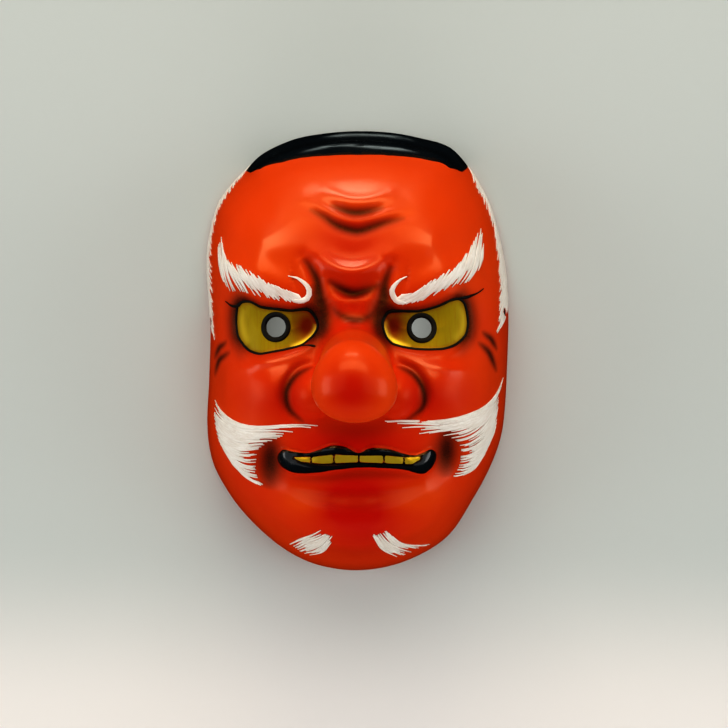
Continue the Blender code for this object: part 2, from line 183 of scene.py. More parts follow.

# painted shade and painted reflection: deep red laid over the orange in the sockets, on the middle of the
# forehead and between the brows, under the nose and cheeks and over the lower face; the patch in the middle
# of the chin is a painted dark reflection and the negative entries beside it are painted paler reflections.
# Centre, half axes, strength
SHADE_AND_REFLECTION_PATCHES = [
    ((0, -62), (60, 34), 0.7), ((0, -92), (24, 22), 0.5), ((0, -42), (30, 10), 0.4),
    ((-38, 8), (38, 22), 0.5), ((32, 8), (38, 22), 0.5), ((-2, 52), (24, 17), 0.85),
    ((-2, 22), (14, 13), 0.4), ((-40, -24), (22, 12), 0.55), ((38, -24), (22, 12), 0.65),
    ((-1, -76), (14, 9), 0.6), ((-27, -75), (10, 7), -0.7), ((29, -74), (15, 7), -0.7),
]

# where the lacquer is rubbed to a shine: centre, half axes, turn in degrees, strength
POLISH = [
    ((-3, 77), (21, 8), 0, 1.0), ((-44, 52), (12, 11), 20, 1.0), ((41, 53), (19, 10), 45, 1.0),
    ((-3, 39), (17, 5), 0, 1.0), ((-0.6, 9), (8, 5), 0, 0.8), ((-41, -7), (16, 5), 5, 0.9),
    ((36, -8), (18, 5), -6, 0.9), ((-26, -74), (11, 8), 10, 0.7), ((29, -74), (16, 8), -8, 0.8),
    ((0, -93), (20, 6), 0, 0.6),
]

# brush strokes of the white hair. Each tuft is a fan of guide lines, from the root to the tip
LEFT_BROW = [
    [(-72.5, 53.9), (-71.1, 45.4), (-67.9, 34.6)],
    [(-70.7, 58.9), (-68.1, 44.7), (-64.0, 29.6)],
    [(-67.7, 48.4), (-63.2, 39.2), (-57.6, 28.7)],
    [(-62.6, 43.5), (-58.2, 35.7), (-53.3, 27.6)],
    [(-57.0, 40.9), (-52.1, 33.2), (-46.9, 25.7)],
    [(-52.0, 38.0), (-47.2, 31.6), (-42.3, 24.9)],
    [(-47.8, 35.6), (-43.3, 29.6), (-37.6, 23.6)],
    [(-41.4, 31.4), (-37.2, 27.6), (-31.9, 22.8)],
    [(-38.5, 30.3), (-33.8, 26.9), (-28.0, 22.4)],
    [(-32.8, 28.1), (-29.4, 25.5), (-25.6, 22.6)],
]
LEFT_HOOK = [
    (-33.3, 35.4), (-29.9, 34.9), (-26.5, 33.0), (-23.8, 30.3), (-22.9, 27.2), (-24.6, 24.1), (-28.5, 23.3),
    (-32.4, 24.1),
]
RIGHT_BROW = [
    [(18.8, 24.3), (22.2, 25.0), (26.1, 26.9)],
    [(19.8, 22.4), (26.1, 25.0), (31.9, 29.7)],
    [(22.2, 21.6), (29.1, 25.3), (36.0, 32.9)],
    [(26.1, 22.2), (33.4, 27.2), (40.6, 35.1)],
    [(31.1, 23.2), (37.8, 29.6), (44.2, 38.1)],
    [(36.0, 25.4), (42.3, 31.6), (48.8, 40.2)],
    [(41.4, 28.1), (46.8, 34.8), (52.4, 44.6)],
    [(45.5, 30.0), (51.7, 37.6), (56.9, 50.9)],
    [(49.2, 31.4), (55.7, 41.1), (61.1, 57.2)],
    [(53.6, 33.0), (60.7, 45.1), (65.5, 65.9)],
    [(58.2, 35.0), (63.7, 45.1), (66.6, 56.8)],
]
RIGHT_HOOK = [
    (24.6, 35.2), (21.5, 33.7), (18.8, 31.1), (17.3, 28.3), (18.5, 24.8), (20.8, 22.9), (24.2, 22.6),
]
LEFT_MOUSTACHE = [
    [(-18.5, -37.2), (-27.4, -36.8), (-37.3, -37.4), (-49.2, -38.7), (-60.5, -37.6), (-70.5, -32.1),
     (-75.5, -26.6)],
    [(-31.4, -40.5), (-39.9, -40.0), (-49.3, -40.6), (-60.0, -40.2), (-70.2, -35.7), (-75.6, -30.8)],
    [(-36.9, -42.8), (-43.6, -42.6), (-51.1, -43.5), (-60.1, -43.3), (-69.9, -39.6), (-75.8, -34.1)],
    [(-42.3, -45.4), (-48.0, -45.7), (-54.5, -46.5), (-62.0, -45.8), (-70.3, -42.3), (-75.6, -36.7)],
    [(-46.8, -48.0), (-51.4, -48.2), (-56.9, -49.0), (-63.3, -48.1), (-70.4, -44.7), (-75.2, -39.3)],
    [(-50.0, -50.5), (-54.8, -51.3), (-59.9, -51.4), (-65.3, -49.9), (-70.5, -46.9), (-74.1, -42.6)],
    [(-50.3, -53.7), (-55.0, -54.2), (-60.1, -54.1), (-64.9, -52.3), (-69.6, -49.2), (-73.8, -44.4)],
    [(-51.2, -58.5), (-55.8, -58.6), (-60.4, -57.4), (-64.8, -55.0), (-68.8, -51.7), (-73.1, -46.7)],
    [(-51.0, -62.3), (-55.5, -61.8), (-59.8, -60.3), (-63.5, -57.8), (-67.0, -54.7), (-70.5, -50.9)],
    [(-50.2, -65.7), (-54.6, -65.0), (-58.6, -63.2), (-62.0, -60.9), (-65.1, -57.8), (-67.7, -54.6)],
    [(-46.1, -70.4), (-50.1, -68.9), (-53.9, -67.1), (-57.5, -64.8), (-60.8, -61.9), (-63.6, -58.6)],
]
RIGHT_MOUSTACHE = [
    [(13.8, -34.9), (22.1, -34.5), (33.4, -35.4), (42.5, -35.4), (51.4, -34.1), (60.4, -32.1), (67.9, -28.9),
     (75.2, -21.8), (79.3, -14.9)],
    [(22.6, -38.4), (30.9, -37.9), (41.0, -38.1), (50.4, -37.0), (59.3, -35.0), (67.3, -30.9), (74.4, -24.4),
     (77.7, -19.3)],
    [(31.3, -41.5), (38.6, -40.5), (46.3, -39.9), (54.9, -38.3), (62.4, -35.2), (69.4, -30.3), (75.6, -22.9)],
    [(44.9, -42.9), (51.3, -42.2), (57.8, -40.5), (64.3, -36.9), (70.1, -32.0), (75.3, -25.6)],
    [(50.6, -46.1), (55.8, -45.4), (61.5, -43.2), (67.0, -39.3), (71.7, -34.0), (75.4, -28.3)],
    [(52.5, -49.1), (57.7, -48.4), (63.3, -45.8), (68.2, -41.6), (72.2, -36.5), (75.1, -31.5)],
    [(52.9, -52.1), (57.9, -51.7), (63.3, -49.6), (68.1, -45.4), (72.0, -40.0), (74.4, -34.6)],
    [(52.8, -55.3), (57.9, -54.9), (62.9, -52.9), (67.8, -48.9), (71.9, -43.2), (74.6, -37.9)],
    [(52.5, -58.5), (57.3, -58.1), (62.3, -56.1), (66.8, -52.4), (70.5, -47.7), (73.8, -42.7)],
    [(51.5, -61.3), (56.0, -61.3), (60.7, -59.5), (65.0, -56.6), (68.2, -52.6), (70.7, -48.8)],
    [(48.9, -65.1), (53.7, -64.8), (58.0, -63.6), (61.9, -61.4), (64.9, -58.5), (67.2, -55.6)],
]
LEFT_CHIN = [
    [(-35.9, -103.7), (-28.3, -97.8), (-17.9, -90.4)],
    [(-33.0, -105.8), (-24.2, -98.1), (-15.5, -92.5)],
    [(-30.8, -108.0), (-22.2, -101.4), (-13.8, -93.2)],
    [(-28.2, -109.2), (-20.1, -104.2), (-12.3, -93.5)],
    [(-25.4, -109.9), (-18.5, -106.0), (-12.9, -97.6)],
]
RIGHT_CHIN = [
    [(39.2, -105.2), (25.3, -101.8), (18.0, -94.1)],
    [(33.0, -106.2), (21.7, -99.8), (14.6, -90.5)],
    [(29.0, -108.5), (19.0, -101.9), (11.7, -91.8)],
    [(25.1, -110.1), (16.2, -103.2), (8.6, -92.0)],
    [(21.3, -110.7), (13.9, -103.8), (8.2, -92.8)],
]

# sideburns down the side walls, as y and the height above the rim, from the rim to the tips
LEFT_SIDEBURN = [
    [(106.0, 2.0), (101.0, 9.0), (95.0, 19.0)],
    [(101.0, 2.0), (93.0, 10.0), (85.0, 25.0)],
    [(95.0, 2.0), (86.0, 10.0), (77.0, 24.0)],
    [(87.0, 2.0), (78.0, 11.0), (68.0, 25.0)],
    [(79.0, 2.0), (70.0, 11.0), (59.0, 27.0)],
    [(70.0, 2.0), (61.0, 13.0), (49.0, 31.0)],
    [(61.0, 2.0), (52.0, 14.0), (40.0, 32.0)],
    [(52.0, 2.0), (43.0, 14.0), (31.0, 31.0)],
    [(44.0, 2.0), (34.0, 14.0), (22.0, 28.0)],
    [(35.0, 3.0), (25.0, 15.0), (12.0, 28.0)],
    [(28.0, 4.0), (17.0, 16.0), (3.0, 30.0)],
]
RIGHT_SIDEBURN = [
    [(106.0, 2.0), (100.0, 8.0), (92.0, 20.0)],
    [(100.0, 2.0), (92.0, 9.0), (82.0, 22.0)],
    [(93.0, 2.0), (84.0, 8.0), (73.0, 18.0)],
    [(85.0, 2.0), (75.0, 8.0), (63.0, 19.0)],
    [(76.0, 2.0), (66.0, 10.0), (52.5, 24.0)],
    [(67.0, 2.0), (56.0, 12.0), (42.0, 27.0)],
    [(58.0, 2.0), (47.0, 13.0), (33.0, 29.0)],
    [(49.0, 2.0), (39.0, 14.0), (25.0, 31.0)],
    [(40.0, 3.0), (30.0, 17.0), (16.0, 33.0)],
    [(30.0, 4.0), (20.0, 20.0), (7.0, 38.0)],
]

# mesh
SECTORS = 360
TIP_ROWS = 16
SHAFT_ROWS = 22
FILLET_ROWS = 9
FACE_ROWS = 138
LINING_STEP = 5
STROKE_COLUMNS = 3


def smoothstep(edge0, edge1, value):
    t = np.clip((value - edge0) / (edge1 - edge0), 0.0, 1.0)
    return t * t * (3.0 - 2.0 * t)


def spline(a, b, c, d, t):
    return 0.5 * (2 * b + (c - a) * t + (2 * a - 5 * b + 4 * c - d) * t**2 + (3 * b - a - 3 * c + d) * t**3)


def smooth_loop(points, steps):
    """A closed Catmull-Rom curve through the points."""
    p = np.array(points, dtype=float)
    t = np.arange(steps)[:, None] / steps
    out = [spline(p[i - 1], p[i], p[(i + 1) % len(p)], p[(i + 2) % len(p)], t) for i in range(len(p))]
    return np.vstack(out)


def smooth_line(points, count):
    """A Catmull-Rom curve through the points, with that many points evenly along it."""
    p = np.array(points, dtype=float)
    p = np.vstack([2 * p[0] - p[1], p, 2 * p[-1] - p[-2]])
    t = np.arange(12)[:, None] / 12
    fine = np.vstack([spline(*p[i:i + 4], t) for i in range(len(p) - 3)] + [p[-2:-1]])
    run = np.concatenate([[0.0], np.cumsum(np.linalg.norm(np.diff(fine, axis=0), axis=1))])
    want = np.linspace(0.0, run[-1], count)
    return np.array([np.interp(want, run, fine[:, i]) for i in range(fine.shape[1])]).T


def rim_radius(theta):
    loop = smooth_loop(RIM, 8) - np.array(CENTRE)
    angle = np.arctan2(loop[:, 1], loop[:, 0])
    order = np.argsort(angle)
    return np.interp(theta, angle[order], np.hypot(loop[:, 0], loop[:, 1])[order], period=2 * math.pi)


def near(x, y, points):
    """Distance from the line through the points, and how far along it, 0 to 1."""
    p = np.array(points, dtype=float)
    length = np.hypot(*(p[1:] - p[:-1]).T)
    before = np.concatenate([[0.0], np.cumsum(length)])
    best = np.full(np.shape(x), 1e9)
    along = np.zeros(np.shape(x))
    for i in range(len(p) - 1):
        dx, dy = p[i + 1] - p[i]
        t = np.clip(((x - p[i][0]) * dx + (y - p[i][1]) * dy) / length[i] ** 2, 0.0, 1.0)
        d = np.hypot(x - p[i][0] - t * dx, y - p[i][1] - t * dy)
        closer = d < best
        along = np.where(closer, (before[i] + t * length[i]) / before[-1], along)
        best = np.where(closer, d, best)
    return best, along


def outside(x, y, loop):
    """Signed distance from a closed loop, negative inside it."""
    d, _ = near(x, y, np.vstack([loop, loop[:1]]))
    inside = np.zeros(np.shape(x), dtype=bool)
    for i in range(len(loop)):
        ax, ay = loop[i - 1]
        bx, by = loop[i]
        if ay == by:
            continue
        crosses = (ay > y) != (by > y)
        inside ^= crosses & (x < (bx - ax) * (y - ay) / (by - ay) + ax)
    return np.where(inside, -d, d)


def bump(x, y, cx, cy, rx, ry, turn=0.0):
    c, s = math.cos(math.radians(turn)), math.sin(math.radians(turn))
    u = ((x - cx) * c + (y - cy) * s) / rx
    v = ((y - cy) * c - (x - cx) * s) / ry
    return np.exp(-u * u - v * v)


def fold(x, y, points, width):
    """A rounded ridge along a line, dying away toward both ends."""
    d, t = near(x, y, smooth_line(points, 25))
    return np.exp(-((d / width) ** 2)) * np.sqrt(np.sin(math.pi * np.clip(t, 0.03, 0.97)))


def relief(x, y):
    """Height of the carved features above the plain dome of the face."""
    z = 2.0 * bump(x, y, -2, 78, 46, 24)

    # brow muscles, the ridges under the painted eyebrows and the hollows of the temples
    z += 5.0 * bump(x, y, -47, 52, 15, 17, 20) + 5.0 * bump(x, y, 38, 52, 15, 17, -20)
    z += 5.5 * fold(x, y, [(-70, 46), (-58, 38), (-44, 31), (-32, 26), (-26, 28)], 9.0)
    z += 5.5 * fold(x, y, [(64, 48), (51, 39), (38, 31), (26, 26), (20, 28)], 9.0)

    # creases of the forehead
    z -= 1.2 * fold(x, y, [(-15, 72.4), (-8, 69.2), (-1.5, 67.4), (5, 67.9), (16, 71.2)], 2.3)
    z += 1.0 * fold(x, y, [(-16, 79.0), (-7, 75.0), (0, 73.6), (7, 74.4), (16, 78.0)], 3.4)
    z -= 1.4 * fold(x, y, [(-26, 70.6), (-16.5, 65.6), (-10, 61), (0, 58), (7, 60), (14, 62), (26, 66)], 2.6)
    z += 0.8 * fold(x, y, [(-20, 71.5), (-11, 65.4), (-1, 62.6), (8, 63.8), (20, 68.2)], 2.6)

    # rolls of skin between the brows, each with a crease below it
    z += 3.8 * fold(x, y, [(-19, 46), (-11, 39.5), (-2, 37.2), (7, 39.5), (13, 45)], 5.0)
    z -= 2.3 * fold(x, y, [(-14, 34.5), (-8, 29), (-2.5, 27.2), (4, 29), (9, 33)], 2.6)
    z += 2.6 * fold(x, y, [(-13, 26), (-7, 21.6), (-2, 20.6), (3, 21.6), (9, 25.5)], 3.9)
    z -= 1.6 * fold(x, y, [(-12, 19.4), (-7, 15.6), (-2, 13.8), (4, 14.6), (9, 18)], 2.2)
    z -= 3.4 * fold(x, y, [(-26, 45), (-22.5, 40), (-19.5, 33), (-17, 24)], 3.2)
    z -= 3.4 * fold(x, y, [(17.5, 42), (15.3, 37), (13.5, 31), (12, 23)], 3.2)

    # sockets, lids and eyeballs
    z -= 8.0 * bump(x, y, -39, 11, 27, 17, -5) + 8.0 * bump(x, y, 33, 11, 27, 17, 5)
    for loop, corner in zip(EYES, ((-24, 10), (17, 10))):
        d = outside(x, y, smooth_loop(loop, 3))
        z += 4.0 * (1.0 - np.exp(np.minimum(d, 0.0) / 6.0))
        z += 1.3 * np.exp(-(((d - 2.6) / 2.8) ** 2))
        z -= 3.6 * bump(x, y, corner[0], corner[1], 7.0, 7.5)

    # cheeks, muzzle, corners of the mouth and chin
    z += 0.9 * fold(x, y, [(-64, -11), (-50, -8), (-38, -6), (-27, -4)], 2.8)
    z += 0.9 * fold(x, y, [(18, -4.5), (30, -6.5), (44, -9), (60, -12)], 2.8)
    z += 5.5 * bump(x, y, -45, -18, 25, 15, -8) + 5.5 * bump(x, y, 40, -17, 25, 15, 8)
    z += 3.5 * bump(x, y, 0, -42, 32, 12)
    z -= 2.2 * fold(x, y, [(-21, -7), (-29, -10), (-34, -17), (-34.5, -25), (-31, -32), (-24, -37)], 2.4)
    z -= 2.2 * fold(x, y, [(19, -7), (27, -10), (32.5, -17), (33, -25), (29.5, -32), (22, -37)], 2.4)
    z -= 4.5 * bump(x, y, -44, -57, 8, 11) + 4.5 * bump(x, y, 44.5, -54, 8, 11)
    z -= 3.0 * fold(x, y, [(-36, -66), (-18, -70), (0, -71), (18, -69.5), (36, -65)], 5.5)
    z += 8.0 * bump(x, y, 0, -88, 34, 19)

    # lips with the teeth set back between them
    d = outside(x, y, smooth_loop(LIPS, 3))
    z += 3.8 * (1.0 - np.exp(np.minimum(d - 1.0, 0.0) / 2.4))
    z -= 4.2 * fold(x, y, TEETH_LINE, 3.4)
    z += 0.7 * (1.0 - np.exp(np.minimum(teeth_edge(x, y), 0.0) / 0.8))
    return z


def teeth_edge(x, y):
    """Signed distance from the painted teeth, negative on a tooth."""
    top, low = np.array(TEETH_TOP), np.array(TEETH_LOW)
    d = np.maximum(y - np.interp(x, *top.T), np.interp(x, *low.T) - y)
    d = np.maximum(d, np.maximum(top[0, 0] - x, x - top[-1, 0]))
    for gap in TEETH_GAPS:
        d = np.maximum(d, GAP_HALF - np.abs(x - gap))
    return d


def lean(x, y, z):
    """The front of the mask sits a little left of its rim, more so toward the top."""
    return x + LEAN * smoothstep(-40.0, 60.0, y) * np.clip(z / FACE_HEIGHT, 0.0, 1.0)


def face_point(theta, r):
    """A point of the face in direction theta, at the fraction r of the way out to the rim."""
    level = np.sqrt(np.clip(1.0 - r**SHOULDER, 0.0, 1.0))
    reach = rim_radius(theta) * r * (1.0 - FLARE * level)
    reach += hair_band(theta, FACE_HEIGHT * level)
    y = CENTRE[1] + reach * np.sin(theta)
    z = FACE_HEIGHT * level
    x = lean(CENTRE[0] + reach * np.cos(theta), y, z)
    z = z + relief(x, y) * (1.0 - smoothstep(0.84, 0.96, r))
    return x, y, nose_wings(x, y, z)


def hair_band(theta, z):
    """Two rounded ridges with a valley between them, across the top of the wall."""
    top = 1.0 - smoothstep(22.0, 31.0, np.degrees(np.abs(theta - 0.5 * math.pi)))
    ridges = 0.4 * np.exp(-(((z - 7.0) / 6.0) ** 2)) + 1.4 * np.exp(-(((z - 34.0) / 6.0) ** 2))
    return top * (ridges - 1.8 * np.exp(-(((z - 21.0) / 7.0) ** 2)))


def nose_wings(x, y, z):
    for cx in WING_X:
        e = ((x - cx) / WING_HALF[0]) ** 2 + ((y - WING_Y) / WING_HALF[1]) ** 2
        wing = WING_BASE + (WING_TOP - WING_BASE) * np.sqrt(np.clip(1.0 - e, 0.0, 1.0))
        wing = wing - 60.0 * np.maximum(e - 1.0, 0.0)
        z = 0.5 * (z + wing + np.sqrt((z - wing) ** 2 + 3.0))
    return z


def nose_section(theta, z):
    """The nose at height z: tall at the root, an egg with its narrow end up at the tip."""
    q = np.clip((z - NOSE_ROOT) / (NOSE_BULB - NOSE_ROOT), 0.0, 1.0)
    keys = (0.0, 0.28, 0.6, 0.85, 1.0)
    middle = [0.45 * n + 0.55 * b for n, b in zip(NECK_HALF, ROOT_HALF)]
    a = np.interp(q, keys, (ROOT_HALF[0], middle[0], NECK_HALF[0], 0.985 * BULB_HALF[0], BULB_HALF[0]))
    b = np.interp(q, keys, (ROOT_HALF[1], middle[1], NECK_HALF[1], 0.985 * BULB_HALF[1], BULB_HALF[1]))
    cap = np.sqrt(np.clip(1.0 - (np.maximum(z - NOSE_BULB, 0.0) / (NOSE_TIP - NOSE_BULB)) ** 2, 0.0, 1.0))
    radius = cap * a * b / np.hypot(b * np.cos(theta), a * np.sin(theta))
    egg = 1.0 - EGG * smoothstep(0.0, 0.8, q) * np.sin(theta)
    y = ROOT_CENTRE_Y + (BULB_CENTRE_Y - ROOT_CENTRE_Y) * q + radius * np.sin(theta)
    return lean(CENTRE[0] + radius * np.cos(theta) * egg, y, FACE_HEIGHT), y


def root_reach(theta):
    """Distance from the centre to the foot of the nose, and the radius of the fillet round it."""
    x, y = nose_section(theta, np.full_like(theta, NOSE_ROOT))
    fillet = 4.0 + 8.0 * smoothstep(0.55, 1.0, np.sin(theta)) + 2.0 * smoothstep(0.6, 1.0, -np.sin(theta))
    return np.hypot(x - lean(CENTRE[0], y, FACE_HEIGHT), y - CENTRE[1]), fillet


def surface():
    """Rows of points from the nose tip to the back rim, as an array rows x sectors x 3."""
    theta = 2 * math.pi * np.arange(SECTORS) / SECTORS
    rows = []
    for i in range(TIP_ROWS):
        turn = 0.5 * math.pi * i / TIP_ROWS
        z = np.full(SECTORS, NOSE_BULB + (NOSE_TIP - NOSE_BULB) * math.cos(turn))
        x, y = nose_section(theta, z)
        rows.append((x, y, z))

    reach, fillet = root_reach(theta)
    whole = rim_radius(theta) * (1.0 - FLARE)
    foot = face_point(theta, reach / whole)
    top = foot[2] + fillet
    for i in range(SHAFT_ROWS):
        z = NOSE_BULB + (top - NOSE_BULB) * i / (SHAFT_ROWS - 1)
        x, y = nose_section(theta, z)
        rows.append((x, y, z))

    first = (reach + fillet) / whole
    start = np.array(rows[-1])
    corner = np.array([*nose_section(theta, foot[2]), foot[2]])
    end = np.array(face_point(theta, first))
    for i in range(1, FILLET_ROWS):
        t = i / FILLET_ROWS
        rows.append(start * (1 - t) ** 2 + corner * 2 * t * (1 - t) + end * t**2)

    # rows spaced evenly along each meridian, so the wall is as finely divided as the face
    fine = np.linspace(0.0, 1.0, 241)
    spread = []
    for k in range(SECTORS):
        angle = math.asin(min(1.0, first[k] ** (SHOULDER / 2)))
        a = angle + (0.5 * math.pi - angle) * fine
        r = np.sin(a) ** (2 / SHOULDER)
        run = np.hypot(np.diff(r) * whole[k], np.diff(np.cos(a)) * FACE_HEIGHT)
        run = np.concatenate([[0.0], np.cumsum(run)]) / np.sum(run)
        spread.append(np.interp(np.linspace(0.0, 1.0, FACE_ROWS), run, r))
    spread = np.array(spread)
    for i in range(FACE_ROWS):
        x, y, z = face_point(theta, spread[:, i])
        rows.append((x, y, z))
    return np.array([np.array(row).T for row in rows])


def row_normals(points):
    down = np.gradient(points, axis=0)
    round_ = np.roll(points, -1, axis=1) - np.roll(points, 1, axis=1)
    normal = np.cross(down, round_)
    normal[0] = (0.0, 0.0, 1.0)
    return normal / np.linalg.norm(normal, axis=2, keepdims=True)


def soften(field, rounds):
    """Average each point with its neighbours in the grid; the first and last rows stay."""
    for _ in range(rounds):
        field = 0.5 * field + 0.25 * (np.roll(field, 1, axis=1) + np.roll(field, -1, axis=1))
        field[1:-1] = 0.5 * field[1:-1] + 0.25 * (field[:-2] + field[2:])
    return field


def lining(points):
    """The inside of the shell: softer than the outside, never closer to it than the wall needs."""
    smooth = soften(points.copy(), 50)
    normal = row_normals(smooth)
    sunk = np.sum((smooth - points) * normal, axis=2)
    extra = np.maximum(sunk - 0.7, 0.0)
    extra = soften(np.maximum.reduce([np.roll(extra, k, axis=1) for k in range(-2, 3)]), 8)
    inner = smooth - normal * (WALL + extra)[:, :, None]
    rim = points[-1]
    flat = row_normals(points)[-1] * (1.0, 1.0, 0.0)
    inner[-1] = rim - RIM_WIDTH * flat / np.linalg.norm(flat, axis=1, keepdims=True)
    inner[-1, :, 2] = 0.0
    return inner


def skin(points, lining_from):
    """Spin a row of vertices, on the axis at both ends, into a closed sheet, then set it to the points."""
    rows, sectors = points.shape[:2]
    bm = bmesh.new()
    verts = [bm.verts.new((min(i, rows - 1 - i), 0.0, -i)) for i in range(rows)]
    edges = [bm.edges.new(pair) for pair in zip(verts, verts[1:])]
    bmesh.ops.spin(
        bm, geom=verts + edges, cent=(0, 0, 0), axis=(0, 0, 1), dvec=(0, 0, 0),
        angle=2 * math.pi, steps=sectors, use_merge=True,
    )
    bmesh.ops.remove_doubles(bm, verts=list(bm.verts), dist=1e-4)
    for face in bm.faces:
        face.smooth = True
        face.material_index = 1 if -face.calc_center_median().z > lining_from else 0
    for vert in bm.verts:
        k = round(math.atan2(vert.co.y, vert.co.x) / (2 * math.pi) * sectors) % sectors
        vert.co = points[round(-vert.co.z), k] * MM
    return bm


def shell_mesh():
    outer = surface()
    inner = lining(outer)
    for sheet in (outer, inner):
        sheet[0] = sheet[0].mean(axis=0)
    rows = sorted({*range(0, len(inner), LINING_STEP), *range(len(inner) - 4, len(inner))})
    bm = skin(np.concatenate([outer, inner[rows][::-1]]), len(outer) + 0.1)
    bmesh.ops.triangulate(bm, faces=list(bm.faces))
    bmesh.ops.recalc_face_normals(bm, faces=list(bm.faces))
    return bm


def add_object(name, bm, materials=()):
    mesh = bpy.data.meshes.new(name)
    bm.to_mesh(mesh)
    bm.free()
    for material in materials:
        mesh.materials.append(material)
    obj = bpy.data.objects.new(name, mesh)
    bpy.context.scene.collection.objects.link(obj)
    return obj


def punches():
    """Rods for the sight holes, along the nose, and for the cord holes, through the side walls."""
    bm = bmesh.new()
    for x, y in EYE_HOLES:
        bmesh.ops.create_cone(
            bm, cap_ends=True, segments=64, radius1=0.5 * EYE_HOLE * MM, radius2=0.5 * EYE_HOLE * MM,
            depth=60 * MM, matrix=Matrix.Translation((x * MM, y * MM, 62 * MM)),
        )
    for x, y, z in CORD_HOLES:
        place = Matrix.Translation((x * MM, y * MM, z * MM)) @ Matrix.Rotation(math.pi / 2, 4, "Y")
        bmesh.ops.create_cone(
            bm, cap_ends=True, segments=28, radius1=0.5 * CORD_HOLE * MM, radius2=0.5 * CORD_HOLE * MM,
            depth=24 * MM, matrix=place,
        )
    return add_object("punches", bm)


def hole_distance(p):
    """Distance in mm from the axes of the sight holes and of the cord holes, for points in mm."""
    sight = np.min([np.hypot(p[:, 0] - x, p[:, 1] - y) for x, y in EYE_HOLES], axis=0)
    sight = np.where(p[:, 2] > 30.0, sight, 99.0)
    cord = np.full(len(p), 99.0)
    for x, y, z in CORD_HOLES:
        d = np.hypot(p[:, 1] - y, p[:, 2] - z)
        cord = np.where(np.abs(p[:, 0] - x) < 14.0, np.minimum(cord, d), cord)
    return sight, cord


def cut_shell(materials):
    """The shell with its holes cut through."""
    shell = add_object("uncut_shell", shell_mesh(), materials)
    holes = punches()
    cut = shell.modifiers.new("holes", "BOOLEAN")
    cut.operation = "DIFFERENCE"
    cut.solver = "EXACT"
    cut.object = holes
    depsgraph = bpy.context.evaluated_depsgraph_get()
    mesh = bpy.data.meshes.new_from_object(shell.evaluated_get(depsgraph))
    mesh.name = "tengu_mask"
    mesh.polygons.foreach_set("use_smooth", [True] * len(mesh.polygons))
    centre = np.array([poly.center for poly in mesh.polygons]) / MM
    sight, cord = hole_distance(centre)
    for poly, s, c in zip(mesh.polygons, sight, cord):
        across = abs(poly.normal.z) if s < 9.0 else abs(poly.normal.x)
        if across < 0.2 and (s < 0.5 * EYE_HOLE or c < 0.5 * CORD_HOLE):
            poly.material_index = 2
            poly.use_smooth = False
    mask = bpy.data.objects.new("tengu_mask", mesh)
    bpy.context.scene.collection.objects.link(mask)
    bpy.data.objects.remove(shell)
    bpy.data.objects.remove(holes)
    return mask


